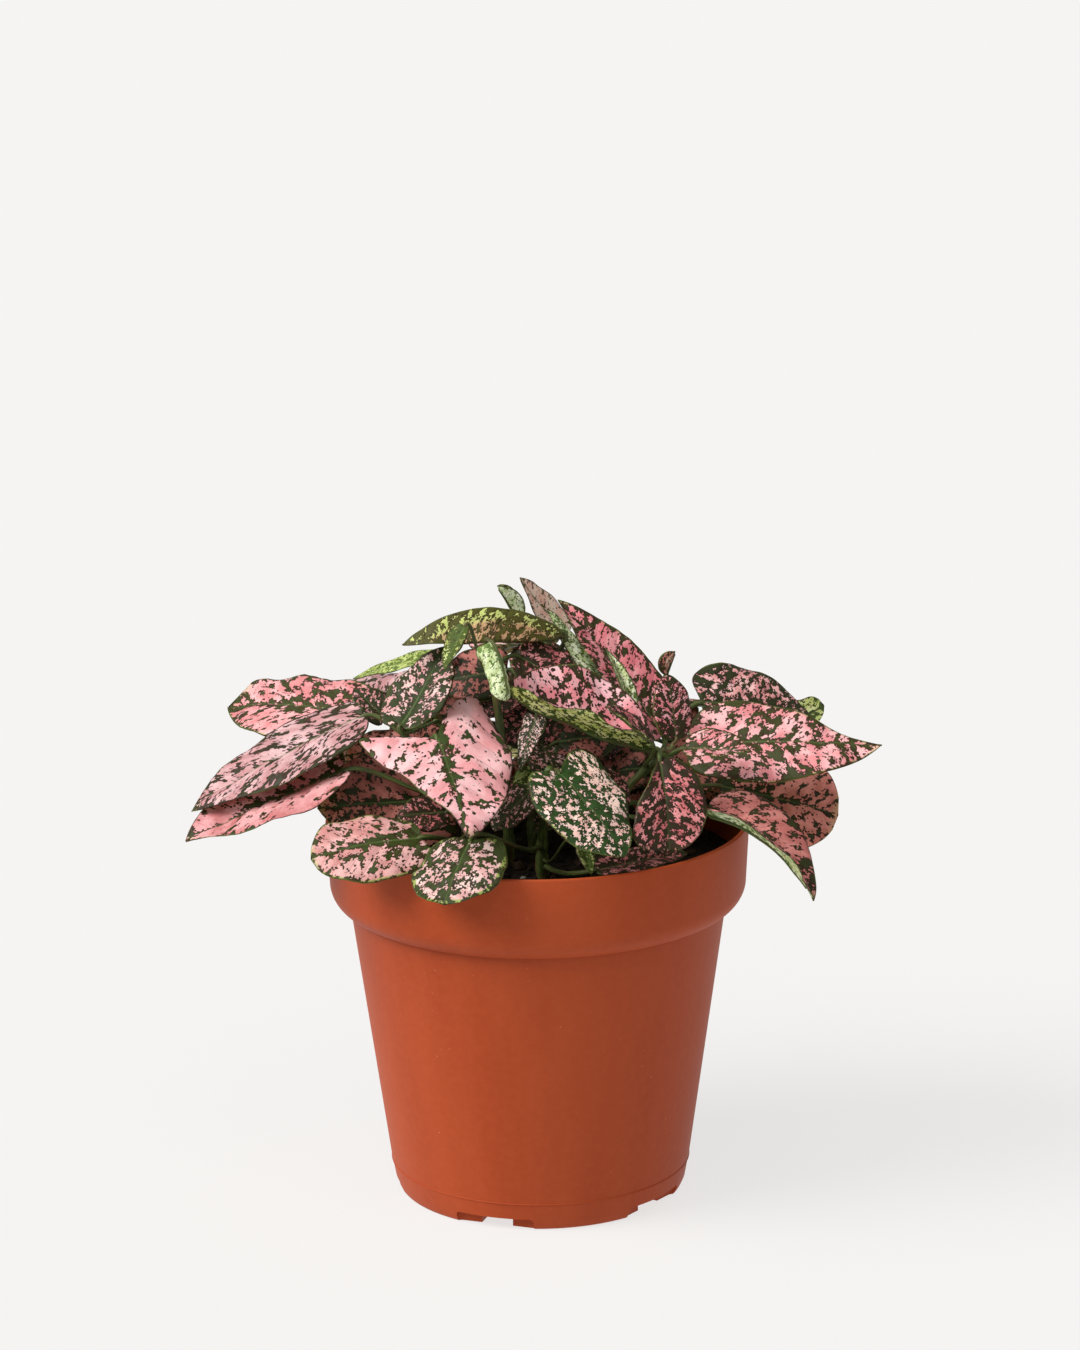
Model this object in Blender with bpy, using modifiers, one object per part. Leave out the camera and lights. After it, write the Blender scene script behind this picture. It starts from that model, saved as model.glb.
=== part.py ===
"""Potted polka dot plant: a pink-leaved Hypoestes growing in a plastic nursery pot.

Metres, +Z up. The origin is the centre of the pot's foot, on the surface that the pot stands on.
The front of the plant faces -Y. Leaves and stems are given in millimetres in their tables.
"""
from collections import namedtuple
import math

import bmesh
import bpy
from mathutils import Vector
import numpy as np

MM = 0.001
GAP = 0.0003
WELD_DISTANCE = 0.00002
PARALLEL_SINE = 0.000001
LEAST_BEND = 1

# Colours (linear red, green, blue) and roughness
POT_COLOUR = (0.42, 0.11, 0.045)
POT_ROUGHNESS = 0.5
SOIL_COLOUR = (0.018, 0.012, 0.009)
SOIL_ROUGHNESS = 0.95
STEM_COLOUR = (0.12, 0.22, 0.05)
STEM_ROUGHNESS = 0.5
LEAF_COLOUR = (0.75, 0.24, 0.28)
LEAF_ROUGHNESS = 0.45

# Pot
POT_HEIGHT = 0.095
RIM_RADIUS = 0.0523
RIM_FOOT_RADIUS = 0.0515
LIP_ROUND = 0.0005
WALL = 0.0011
BAND_ARC_RADIUS = 0.0060
BAND_ARC_HEIGHT = 0.0795
BAND_ARC_STEPS = 5
BAND_ARC_END = math.radians(80)
STEP_RADIUS = 0.0465
STEP_HEIGHT = 0.0733
SEAM_RADIUS = 0.0373
SEAM_HEIGHT = 0.0072
CORNER_RADIUS = 0.0363
CORNER_HEIGHT = 0.0022
FOOT_RADIUS = 0.0349
FOOT_INNER_RADIUS = 0.0295
SKIRT_INNER_RADIUS = 0.0330
FLOOR_UNDERSIDE = 0.0032
FLOOR_TOP = 0.0044
FLOOR_CORNER_RADIUS = 0.0348
POT_STEPS = 40

# Notches in the foot and drain holes in the floor
NOTCH_COUNT = 5
NOTCH_FIRST_AZIMUTH = math.radians(-109)
NOTCH_WIDTH = 0.0200
NOTCH_GAP_WIDTH = 0.0080
NOTCH_HEIGHT = 0.0030
DRAIN_HOLE_RADIUS = 0.0040
DRAIN_HOLE_CIRCLE = 0.0190
CUTTER_SPARE = 0.0020
HOLE_SIDES = 16

# Soil
SOIL_EDGE_HEIGHT = 0.0830
SOIL_TOP_HEIGHT = 0.0850
SOIL_DOME_STEPS = 4
SOIL_STEPS = 24

# Stems
STEM_RADIUS = 0.0014
STEM_TIP_SCALE = 0.65
STEM_ROOT_DEPTH = 0.0080
STEM_POINTS = 8
STEM_UPRIGHT = 0.55
STEM_BEVEL_RESOLUTION = 1
STEM_TANGENT_STEP = 0.01
SOCKET_SIDES = 12

# Leaves
BLADE_THICKNESS = 0.0006
BLADE_ROWS = 6
BLADE_COLUMNS = 4
BASE_CROWDING = 1.3
TIP_HALF_WIDTH = 0.00025
LOBE_FADE = 4
BASE_HALF = 0.5
GRID_HALF_SIZE = 0.5
PETIOLE_ROWS = 3
PETIOLE_HALF_WIDTH = 0.0007
PETIOLE_EASE = 0.28

Stem = namedtuple("Stem", "name foot top")
# foot: x, y where the stem leaves the soil; top: x, y, z of its growing tip (mm)
STEMS = (
    Stem("stem_1", (-16, -14), (-27, -18, 120)),
    Stem("stem_2", (-14, 8), (-30, 8, 126)),
    Stem("stem_3", (-1, 2), (3, 9, 137)),
    Stem("stem_4", (14, -8), (33, -14, 116)),
    Stem("stem_5", (1, -18), (3, -30, 116)),
    Stem("stem_6", (13, 12), (34, 14, 120)),
    Stem("stem_7", (-1, 16), (-4, 22, 121)),
    Stem("stem_8", (-7, -6), (-11, -9, 136)),
)

Leaf = namedtuple(
    "Leaf",
    "name stem at base azimuth rise roll length width bow fold curl peak taper lobe left",
    defaults=(None,),
)
# stem, at: the stem that carries the leaf, and how far up it (0 at the soil, 1 at the tip)
# base: x, y, z where the blade meets its petiole (mm)
# azimuth, rise, roll: the way the blade points, its climb, and its turn about its own axis (degrees)
# length, width: of the blade (mm); bow: how far the midrib bends from base to tip (degrees)
# fold, curl: how far each half lifts at the midrib, and bends from there to its edge (degrees)
# peak: how far along the blade is widest (0 to 1)
# taper, lobe: how drawn-out the tip is, and how far the lobes reach back past the base
# left: peak, taper and lobe of the half left of the midrib, where they are not those of the right
LEAVES = (
    Leaf("leaf_01", "stem_2", 0.90, (-44, 3, 121), 139, -8, 25, 45, 25, 18, 4, -12, 0.66, 0.09, 0.6,
         left=(0.42, 0.90, 0.6)),
    Leaf("leaf_02", "stem_1", 0.95, (-42, -10, 124), -172, -27, 20, 48, 22, 14, 6, -14, 0.36, 0.9, 0.4),
    Leaf("leaf_03", "stem_1", 0.60, (-47, -16, 112), -174, -23, 22, 42, 26, 6, 20, -10, 0.36, 0.9, 0.6),
    Leaf("leaf_04", "stem_1", 0.40, (-24, -12, 103), -161, 2, 45, 31, 28, 12, 6, -12, 0.40, 0.7, 0.8),
    Leaf("leaf_05", "stem_1", 1.00, (-24, -26, 123), -75, -29, 0, 34, 36, 26, -2, -20, 0.04, 1.25, 0.4,
         left=(0.21, 0.72, 1.55)),
    Leaf("leaf_06", "stem_1", 1.00, (-33, -19, 124), 56, 38, 0, 25, 17, -12, 8, -12, 0.40, 0.8, 0.6),
    Leaf("leaf_07", "stem_2", 0.70, (-37, -2, 121), 153, 37, 25, 11, 10, 10, 10, -10, 0.40, 0.8, 0.6),
    Leaf("leaf_08", "stem_2", 1.00, (-21, 8, 135), 158, -19, 15, 28, 9, 14, 6, -14, 0.40, 0.8, 0.6),
    Leaf("leaf_09", "stem_3", 0.92, (7, 4, 141), -163, 0, 0, 41, 20, 85, -38, -24, 0.46, 0.8, 0.4),
    Leaf("leaf_10", "stem_8", 0.95, (-11, -24, 146), -50, -66, 180, 15, 14, -50, 10, 150, 0.34, 0.6, 0.1),
    Leaf("leaf_11", "stem_6", 0.78, (8, 22, 136), -150, 50, 55, 21, 10, -16, 10, -10, 0.36, 0.9, 0.4),
    Leaf("leaf_12", "stem_4", 0.86, (31, 3, 115), 158, 49, 22, 42, 18, 16, 22, -10, 0.32, 0.9, 0.4),
    Leaf("leaf_13", "stem_4", 1.00, (34, -12, 118), 120, 74, 0, 16, 11, 10, 5, -15, 0.44, 0.7, 0.4),
    Leaf("leaf_14", "stem_4", 0.90, (23.5, -8, 124), 135, 57, 20, 17, 7, 10, 70, -20, 0.36, 0.9, 0.4),
    Leaf("leaf_15", "stem_4", 0.92, (29, -17, 117), -171, 24, 15, 42, 31, -22, 45, -10, 0.50, 0.85, 0.2),
    Leaf("leaf_16", "stem_4", 0.84, (27, -30, 123), -169, 40, 10, 14, 10, 10, 20, -15, 0.40, 0.8, 0.6),
    Leaf("leaf_17", "stem_8", 1.00, (-4, -4, 137), -8, -34, -35, 22, 16, 10, 10, -10, 0.36, 0.9, 0.6),
    Leaf("leaf_18", "stem_6", 1.00, (32, 18, 126), 25, 62, 0, 6.5, 6, 0, 45, 20, 0.50, 0.6, 0.2),
    Leaf("leaf_19", "stem_6", 0.84, (41, 10, 121), 26, -12, -42, 31, 25, 14, 5, -14, 0.34, 0.9, 0.4),
    Leaf("leaf_20", "stem_6", 0.80, (59, 28, 106.5), 16, 28, 60, 16, 16, 10, 5, -14, 0.50, 0.6, 0.6),
    Leaf("leaf_21", "stem_4", 0.92, (38, -10, 116), -4, 0, -38, 46, 25, 14, 5, -10, 0.38, 0.85, 0.6,
         left=(0.28, 1.60, 0.6)),
    Leaf("leaf_22", "stem_4", 0.86, (36, -24, 119), -12, 0, -20, 16, 12, 14, 20, -10, 0.36, 0.9, 0.4),
    Leaf("leaf_23", "stem_4", 0.55, (45, -2, 103), -4, -14, -42, 30, 26, 12, 5, -10, 0.60, 0.5, 0.2),
    Leaf("leaf_24", "stem_4", 0.50, (41, -28, 104), -13, -39, -8, 33, 20, 60, 38, -14, 0.36, 0.9, 0.4),
    Leaf("leaf_25", "stem_6", 0.70, (62, 8, 104), 10, -29, 30, 13, 10, 10, 10, -10, 0.36, 0.9, 0.6),
    Leaf("leaf_26", "stem_5", 0.95, (5, -34, 116.5), -46, -37, -6, 28, 26, 20, 4, -16, 0.44, 0.62, 0.7,
         left=(0.24, 0.80, 0.7)),
    Leaf("leaf_27", "stem_4", 1.00, (29.5, -29, 118), -80, -62, 12, 23, 20, 20, 16, -10, 0.78, 0.30, 0.0,
         left=(0.52, 0.50, 0.3)),
    Leaf("leaf_28", "stem_1", 0.30, (-28, -36, 101), -167, -7, 31, 27, 22, 20, 0, -18, 0.56, 0.55, 0.6,
         left=(0.44, 0.50, 0.5)),
    Leaf("leaf_29", "stem_5", 0.30, (-16, -44, 102.5), -110, -30, -6, 21, 24, 20, 0, -18, 0.48, 0.55, 0.6),
    Leaf("leaf_30", "stem_1", 0.50, (-22, -25, 104), -172, -4, 40, 12, 11, 14, 10, -20, 0.40, 0.8, 0.6),
    Leaf("leaf_31", "stem_8", 0.90, (0, -16, 125), -135, -65, 0, 14, 8, 10, 10, -20, 0.20, 0.9, 0.4),
    Leaf("leaf_32", "stem_5", 0.60, (-2, -22, 108), -155, -43, 10, 13, 13, 14, 10, -20, 0.40, 0.8, 0.6),
    Leaf("leaf_33", "stem_3", 0.28, (1, -7, 109), -115, -38, 10, 10, 12, 14, 10, -20, 0.40, 0.8, 0.6),
    Leaf("leaf_34", "stem_3", 0.40, (5, -3, 115), 0, 5, -50, 16, 14, 14, 10, -20, 0.40, 0.8, 0.6),
    Leaf("leaf_35", "stem_5", 0.80, (15, -24, 113), -29, -44, -10, 11, 10, 14, 10, -20, 0.40, 0.8, 0.6),
    Leaf("leaf_36", "stem_8", 1.00, (-17, -16, 148), -140, -56, 0, 12, 7, 10, 20, -20, 0.36, 0.9, 0.4),
    Leaf("leaf_37", "stem_5", 0.20, (10, -44, 101), -55, -53, 0, 8, 5, 10, 30, -20, 0.36, 0.9, 0.4),
    Leaf("leaf_38", "stem_5", 0.15, (14, -38, 93), 22, 2, -10, 24, 12, 10, 10, -10, 0.40, 0.8, 0.6),
    Leaf("leaf_39", "stem_7", 1.00, (-4, 28, 123), 84, -18, 5, 36, 27, 24, 6, -14, 0.36, 0.9, 0.8),
    Leaf("leaf_40", "stem_7", 0.95, (-13, 25, 120), 116, -16, -8, 36, 25, 20, 8, -12, 0.36, 0.9, 0.8),
    Leaf("leaf_41", "stem_7", 0.90, (6, 26, 119), 54, -18, 10, 36, 25, 22, 6, -14, 0.36, 0.9, 0.8),
    Leaf("leaf_42", "stem_6", 1.00, (38, 24, 117), 58, -20, 6, 36, 24, 24, 8, -12, 0.36, 0.9, 0.8),
    Leaf("leaf_43", "stem_6", 0.50, (44, 22, 103), 22, -24, -10, 32, 22, 20, 8, -12, 0.36, 0.9, 0.8),
    Leaf("leaf_44", "stem_2", 0.95, (-34, 18, 122), 126, -14, 12, 38, 25, 22, 6, -14, 0.36, 0.9, 0.8),
    Leaf("leaf_45", "stem_2", 0.60, (-38, 18, 106), 156, -22, 10, 34, 24, 20, 8, -12, 0.36, 0.9, 0.8),
    Leaf("leaf_46", "stem_7", 0.45, (-2, 33, 106), 92, -28, 0, 30, 25, 24, 6, -14, 0.40, 0.8, 0.8),
    Leaf("leaf_47", "stem_6", 0.40, (26, 32, 103), 66, -26, -6, 30, 24, 22, 6, -14, 0.40, 0.8, 0.8),
    Leaf("leaf_48", "stem_7", 0.40, (-24, 32, 103), 128, -24, 8, 32, 24, 22, 6, -14, 0.40, 0.8, 0.8),
    Leaf("leaf_49", "stem_3", 0.96, (-3, 18, 134), 104, -20, 0, 32, 22, 24, 8, -14, 0.36, 0.9, 0.8),
    Leaf("leaf_50", "stem_3", 1.00, (-4, 10, 143.5), -160, 55, 0, 10, 8, 0, 20, 80, 0.50, 0.6, 0.4),
)


def stem_by_name(name):
    return next(stem for stem in STEMS if stem.name == name)


def stem_point(stem, at):
    """A point on the stem's centre line, from the soil (0) to its tip (1)."""
    foot = np.array((stem.foot[0] * MM, stem.foot[1] * MM, SOIL_EDGE_HEIGHT))
    top = np.array(stem.top) * MM
    knee = foot + np.array((0, 0, STEM_UPRIGHT * (top[2] - foot[2])))
    return (1 - at) ** 2 * foot + 2 * at * (1 - at) * knee + at ** 2 * top


def stem_direction(stem, at):
    """The way the stem grows at a point along it."""
    along = stem_point(stem, at + STEM_TANGENT_STEP) - stem_point(stem, at - STEM_TANGENT_STEP)
    return along / np.linalg.norm(along)


def stem_radius(at):
    return STEM_RADIUS * (1 + (STEM_TIP_SCALE - 1) * at)


def bend_angle(degrees):
    """A bend in radians, never so small that its arc has no radius."""
    return math.radians(degrees if abs(degrees) > LEAST_BEND else LEAST_BEND)


def blade_axes(leaf):
    """Unit vectors along the blade, to its right and out of its upper face."""
    azimuth, rise, roll = (math.radians(a) for a in (leaf.azimuth, leaf.rise, leaf.roll))
    along = np.array(
        (math.cos(rise) * math.cos(azimuth), math.cos(rise) * math.sin(azimuth), math.sin(rise))
    )
    level = np.array((math.sin(azimuth), -math.cos(azimuth), 0))
    upper = np.cross(level, along)
    right = level * math.cos(roll) + upper * math.sin(roll)
    out = upper * math.cos(roll) - level * math.sin(roll)
    return along, right, out


def midrib(leaf, u):
    """The midrib's point, its direction and the blade's outward direction at each u (0 to 1)."""
    along, _, out = blade_axes(leaf)
    bow = bend_angle(leaf.bow)
    radius = leaf.length * MM / (2 * math.sin(bow / 2))
    slope = (bow / 2 - bow * u)[:, None]
    reach = radius * (math.sin(bow / 2) - np.sin(slope))
    height = radius * (np.cos(slope) - math.cos(bow / 2))
    point = np.array(leaf.base) * MM + along * reach + out * height
    heading = along * np.cos(slope) + out * np.sin(slope)
    facing = out * np.cos(slope) - along * np.sin(slope)
    return point, heading, facing


def half_shape(leaf, v):
    """The peak, taper and lobe at each v: the two halves of a blade may differ."""
    right = (leaf.peak, leaf.taper, leaf.lobe)
    return [np.where(v < 0, left, own) for left, own in zip(leaf.left or right, right)]


def half_width(leaf, u, v):
    """Half the blade's width at each u: an egg-shaped outline with a drawn-out tip."""
    peak, taper, _ = half_shape(leaf, v)
    rounding = taper * peak / (1 - peak)
    outline = u ** rounding * (1 - u) ** taper
    widest = peak ** rounding * (1 - peak) ** taper
    half = leaf.width * MM / 2 * outline / widest
    return np.maximum(half, np.where(u < BASE_HALF, PETIOLE_HALF_WIDTH, TIP_HALF_WIDTH))


def blade_points(leaf, u, v):
    """Points of the blade's middle surface: u from base to tip, v from the left edge to the right."""
    _, right, _ = blade_axes(leaf)
    point, heading, facing = midrib(leaf, u)
    half = half_width(leaf, u, v)
    _, _, lobe = half_shape(leaf, v)
    fold = math.radians(leaf.fold)
    bend = bend_angle(leaf.curl) / (leaf.width * MM / 2)
    lifted = fold + bend * np.abs(v) * half
    aside = np.sign(v) * (np.sin(lifted) - math.sin(fold)) / bend
    lift = (math.cos(fold) - np.cos(lifted)) / bend
    back = lobe * half * (1 - u) ** LOBE_FADE * v ** 2 * np.sign(u)
    return point + right * aside[:, None] + facing * lift[:, None] - heading * back[:, None]


def turned(vector, before, after):
    """The vector, turned by the smallest rotation that takes one direction to the other."""
    axis = np.cross(before, after)
    sine = np.linalg.norm(axis)
    if sine < PARALLEL_SINE:
        return vector
    axis = axis / sine
    cosine = float(np.dot(before, after))
    return (
        vector * cosine
        + np.cross(axis, vector) * sine
        + axis * np.dot(axis, vector) * (1 - cosine)
    )


def petiole_path(leaf, count):
    """Points of the petiole's centre line, from beside its stem to just before the blade."""
    stem = stem_by_name(leaf.stem)
    node = stem_point(stem, leaf.at)
    stem_along = stem_direction(stem, leaf.at)
    start_base, heading, _ = midrib(leaf, np.zeros(1))
    end = start_base[0]
    outward = end - node
    outward = outward - stem_along * np.dot(outward, stem_along)
    outward = outward / np.linalg.norm(outward)
    start = node + outward * (stem_radius(leaf.at) + GAP)
    ease = PETIOLE_EASE * np.linalg.norm(end - start)
    leave = start + outward * ease
    arrive = end - heading[0] * ease
    t = (np.arange(count) / count)[:, None]
    return (
        (1 - t) ** 3 * start
        + 3 * t * (1 - t) ** 2 * leave
        + 3 * t ** 2 * (1 - t) * arrive
        + t ** 3 * end
    )


def petiole_sides(leaf, path):
    """The petiole's sideways direction at each point, carried back from the blade."""
    _, right, _ = blade_axes(leaf)
    start_base, heading, _ = midrib(leaf, np.zeros(1))
    whole = np.vstack([path, start_base])
    after = heading[0]
    side = right
    sides = []
    for index in range(len(path) - 1, -1, -1):
        along = whole[index + 1] - whole[index]
        before = along / np.linalg.norm(along)
        side = turned(side, after, before)
        after = before
        sides.append(side)
    return np.array(sides[::-1])


def leaf_rows(leaf, petiole_rows, blade_rows, across):
    """The leaf's middle surface as rows of points, petiole first, each row from left to right."""
    path = petiole_path(leaf, petiole_rows)
    sides = petiole_sides(leaf, path)
    rows = [p + s * PETIOLE_HALF_WIDTH * across[:, None] for p, s in zip(path, sides)]
    for row in range(blade_rows + 1):
        u = np.full(len(across), (row / blade_rows) ** BASE_CROWDING)
        rows.append(blade_points(leaf, u, across))
    return rows


def material(name, colour, roughness):
    made = bpy.data.materials.new(name)
    made.use_nodes = True
    shader = made.node_tree.nodes["Principled BSDF"]
    shader.inputs["Base Color"].default_value = (*colour, 1)
    shader.inputs["Roughness"].default_value = roughness
    shader.inputs["Metallic"].default_value = 0
    made.diffuse_color = (*colour, 1)
    return made


def new_object(name, mesh, collection, surface=None):
    made = bpy.data.objects.new(name, mesh)
    collection.objects.link(made)
    if surface:
        mesh.materials.append(surface)
    return made


def hide_cutter(cutter):
    cutter.hide_render = True
    cutter.display_type = "WIRE"


def turned_object(name, profile, steps, collection, surface):
    """A solid turned about Z from a profile of (radius, height) points."""
    mesh = bpy.data.meshes.new(name)
    points = [(radius, 0, height) for radius, height in profile]
    edges = [(i, i + 1) for i in range(len(points) - 1)]
    mesh.from_pydata(points, edges, [])
    made = new_object(name, mesh, collection, surface)
    screw = made.modifiers.new("turn", "SCREW")
    screw.steps = steps
    screw.render_steps = steps
    screw.use_merge_vertices = True
    screw.merge_threshold = WELD_DISTANCE
    screw.use_smooth_shade = True
    return made


def cut(target, cutter):
    boolean = target.modifiers.new(cutter.name, "BOOLEAN")
    boolean.operation = "DIFFERENCE"
    boolean.solver = "EXACT"
    boolean.object = cutter
    hide_cutter(cutter)


def band_arc(radius):
    """The round lower edge of the rim band, for its outside or its inside."""
    centre = RIM_FOOT_RADIUS - BAND_ARC_RADIUS
    angles = [BAND_ARC_END * i / BAND_ARC_STEPS for i in range(BAND_ARC_STEPS + 1)]
    return [
        (centre + radius * math.cos(a), BAND_ARC_HEIGHT - radius * math.sin(a)) for a in angles
    ]


def outer_wall():
    """The pot's outside, from the lip down to the foot."""
    lip = [
        (RIM_RADIUS - LIP_ROUND, POT_HEIGHT),
        (RIM_RADIUS, POT_HEIGHT - LIP_ROUND),
    ]
    body = [
        (STEP_RADIUS, STEP_HEIGHT),
        (SEAM_RADIUS, SEAM_HEIGHT),
        (CORNER_RADIUS, CORNER_HEIGHT),
        (FOOT_RADIUS, 0),
    ]
    return lip + band_arc(BAND_ARC_RADIUS) + body


def inner_wall(clearance=0):
    """The pot's inside, from the floor up, held off by a clearance."""
    inset = WALL + clearance
    body = [
        (FLOOR_CORNER_RADIUS - clearance, FLOOR_TOP + clearance),
        (SEAM_RADIUS - inset, SEAM_HEIGHT),
        (STEP_RADIUS - inset, STEP_HEIGHT),
    ]
    return body + band_arc(BAND_ARC_RADIUS - inset)[::-1]


def make_pot(collection, cutters):
    profile = [(0, FLOOR_TOP)] + inner_wall() + [(RIM_RADIUS - WALL, POT_HEIGHT)]
    profile += outer_wall()
    profile += [(FOOT_INNER_RADIUS, 0), (FOOT_INNER_RADIUS, FLOOR_UNDERSIDE), (0, FLOOR_UNDERSIDE)]
    surface = material("terracotta_plastic", POT_COLOUR, POT_ROUGHNESS)
    pot = turned_object("pot", profile, POT_STEPS, collection, surface)
    for index in range(NOTCH_COUNT):
        azimuth = NOTCH_FIRST_AZIMUTH + index * math.tau / NOTCH_COUNT
        cut(pot, notch_cutter(f"notch_{index + 1}", azimuth, cutters))
        cut(pot, notch_gap_cutter(f"notch_gap_{index + 1}", azimuth, cutters))
        cut(pot, drain_cutter(f"drain_{index + 1}", azimuth, cutters))
    return pot


def box_cutter(name, low, high, azimuth, collection):
    mesh = bpy.data.meshes.new(name)
    shape = bmesh.new()
    bmesh.ops.create_cube(shape, size=1)
    size = Vector(high) - Vector(low)
    bmesh.ops.scale(shape, vec=size, verts=shape.verts)
    bmesh.ops.translate(shape, vec=(Vector(high) + Vector(low)) / 2, verts=shape.verts)
    shape.to_mesh(mesh)
    shape.free()
    made = new_object(name, mesh, collection)
    made.rotation_euler = (0, 0, azimuth)
    return made


def notch_cutter(name, azimuth, collection):
    """The wide notch in the outer skirt of the foot."""
    low = (SKIRT_INNER_RADIUS, -NOTCH_WIDTH / 2, -CUTTER_SPARE)
    high = (SEAM_RADIUS + CUTTER_SPARE, NOTCH_WIDTH / 2, NOTCH_HEIGHT)
    return box_cutter(name, low, high, azimuth, collection)


def notch_gap_cutter(name, azimuth, collection):
    """The narrow way through the foot, in the middle of the notch."""
    low = (FOOT_INNER_RADIUS - CUTTER_SPARE, -NOTCH_GAP_WIDTH / 2, -CUTTER_SPARE)
    high = (SEAM_RADIUS + CUTTER_SPARE, NOTCH_GAP_WIDTH / 2, NOTCH_HEIGHT)
    return box_cutter(name, low, high, azimuth, collection)


def post_cutter(name, foot, height, radius, sides, collection):
    mesh = bpy.data.meshes.new(name)
    shape = bmesh.new()
    bmesh.ops.create_cone(
        shape, cap_ends=True, segments=sides, radius1=radius, radius2=radius, depth=height
    )
    bmesh.ops.translate(shape, vec=Vector(foot) + Vector((0, 0, height / 2)), verts=shape.verts)
    shape.to_mesh(mesh)
    shape.free()
    return new_object(name, mesh, collection)


def drain_cutter(name, azimuth, collection):
    foot = (
        DRAIN_HOLE_CIRCLE * math.cos(azimuth),
        DRAIN_HOLE_CIRCLE * math.sin(azimuth),
        FLOOR_UNDERSIDE - CUTTER_SPARE,
    )
    height = FLOOR_TOP - FLOOR_UNDERSIDE + 2 * CUTTER_SPARE
    return post_cutter(name, foot, height, DRAIN_HOLE_RADIUS, HOLE_SIDES, collection)


def soil_profile():
    """The root ball: a low dome on top, then the inside of the pot less a clearance."""
    side = [point for point in inner_wall(GAP) if point[1] < SOIL_EDGE_HEIGHT][::-1]
    edge_radius = side[0][0]
    dome = []
    for step in range(SOIL_DOME_STEPS):
        part = step / SOIL_DOME_STEPS
        height = SOIL_EDGE_HEIGHT + (SOIL_TOP_HEIGHT - SOIL_EDGE_HEIGHT) * (1 - part ** 2)
        dome.append((edge_radius * part, height))
    return dome + [(edge_radius, SOIL_EDGE_HEIGHT)] + side + [(0, FLOOR_TOP + GAP)]


def make_soil(collection, cutters):
    surface = material("potting_soil", SOIL_COLOUR, SOIL_ROUGHNESS)
    soil = turned_object("soil", soil_profile(), SOIL_STEPS, collection, surface)
    for stem in STEMS:
        foot = (stem.foot[0] * MM, stem.foot[1] * MM, SOIL_EDGE_HEIGHT - STEM_ROOT_DEPTH - GAP)
        height = STEM_ROOT_DEPTH + SOIL_TOP_HEIGHT - SOIL_EDGE_HEIGHT + CUTTER_SPARE
        cut(soil, post_cutter(
            f"socket_{stem.name}", foot, height, STEM_RADIUS + GAP, SOCKET_SIDES, cutters
        ))
    return soil


def mesh_from_curve(name, curve_object, collection, surface):
    """A closed mesh of a curve object, with its end caps welded on."""
    graph = bpy.context.evaluated_depsgraph_get()
    mesh = bpy.data.meshes.new_from_object(curve_object.evaluated_get(graph))
    mesh.name = name
    shape = bmesh.new()
    shape.from_mesh(mesh)
    bmesh.ops.remove_doubles(shape, verts=shape.verts, dist=WELD_DISTANCE)
    shape.to_mesh(mesh)
    shape.free()
    mesh.materials.clear()
    bpy.data.objects.remove(curve_object)
    made = new_object(name, mesh, collection, surface)
    mesh.shade_smooth()
    return made


def make_stem(stem, collection, surface):
    """A slender shoot: straight down into the soil, then curving up to its tip."""
    curve = bpy.data.curves.new(stem.name + "_line", "CURVE")
    curve.dimensions = "3D"
    curve.bevel_depth = STEM_RADIUS
    curve.bevel_resolution = STEM_BEVEL_RESOLUTION
    curve.use_fill_caps = True
    spline = curve.splines.new("POLY")
    spline.points.add(STEM_POINTS)
    root = stem_point(stem, 0) - np.array((0, 0, STEM_ROOT_DEPTH))
    spline.points[0].co = (*root, 1)
    for index in range(STEM_POINTS):
        at = index / (STEM_POINTS - 1)
        spline.points[index + 1].co = (*stem_point(stem, at), 1)
        spline.points[index + 1].radius = stem_radius(at) / STEM_RADIUS
    line = bpy.data.objects.new(stem.name + "_line", curve)
    collection.objects.link(line)
    return mesh_from_curve(stem.name, line, collection, surface)


def make_leaf(leaf, collection, surface):
    """A blade and its petiole: one sheet, shaped from a grid and given its thickness."""
    mesh = bpy.data.meshes.new(leaf.name)
    shape = bmesh.new()
    total_rows = PETIOLE_ROWS + BLADE_ROWS
    bmesh.ops.create_grid(
        shape, x_segments=BLADE_COLUMNS, y_segments=total_rows, size=GRID_HALF_SIZE
    )
    across = np.linspace(-1, 1, BLADE_COLUMNS + 1)
    rows = leaf_rows(leaf, PETIOLE_ROWS, BLADE_ROWS, across)
    for vertex in shape.verts:
        column = round((vertex.co.x + GRID_HALF_SIZE) * BLADE_COLUMNS)
        row = round((vertex.co.y + GRID_HALF_SIZE) * total_rows)
        vertex.co = rows[row][column]
    shape.to_mesh(mesh)
    shape.free()
    made = new_object(leaf.name, mesh, collection, surface)
    shell = made.modifiers.new("thickness", "SOLIDIFY")
    shell.thickness = BLADE_THICKNESS
    shell.offset = 0
    mesh.shade_smooth()
    return made


def new_collection(name):
    made = bpy.data.collections.new(name)
    bpy.context.scene.collection.children.link(made)
    return made


def main():
    for old in list(bpy.data.objects):
        bpy.data.objects.remove(old)
    plant = new_collection("potted_polka_dot_plant")
    cutters = new_collection("cutters")
    make_pot(plant, cutters)
    make_soil(plant, cutters)
    green = material("green_stem", STEM_COLOUR, STEM_ROUGHNESS)
    for stem in STEMS:
        make_stem(stem, plant, green)
    pink = material("pink_leaf", LEAF_COLOUR, LEAF_ROUGHNESS)
    for leaf in LEAVES:
        make_leaf(leaf, plant, pink)


main()
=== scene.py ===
"""Looks of the potted polka dot plant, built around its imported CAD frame.

Metres, +Z up, in the CAD frame: the pot stands on z = 0 about the Z axis and the front faces -Y.
Leaves and stems are given in millimetres in their tables, which repeat those of the CAD source.
"""

from collections import namedtuple
import math
import random

import bmesh
import bpy
from mathutils import Matrix, Vector, noise
import numpy as np


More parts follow.
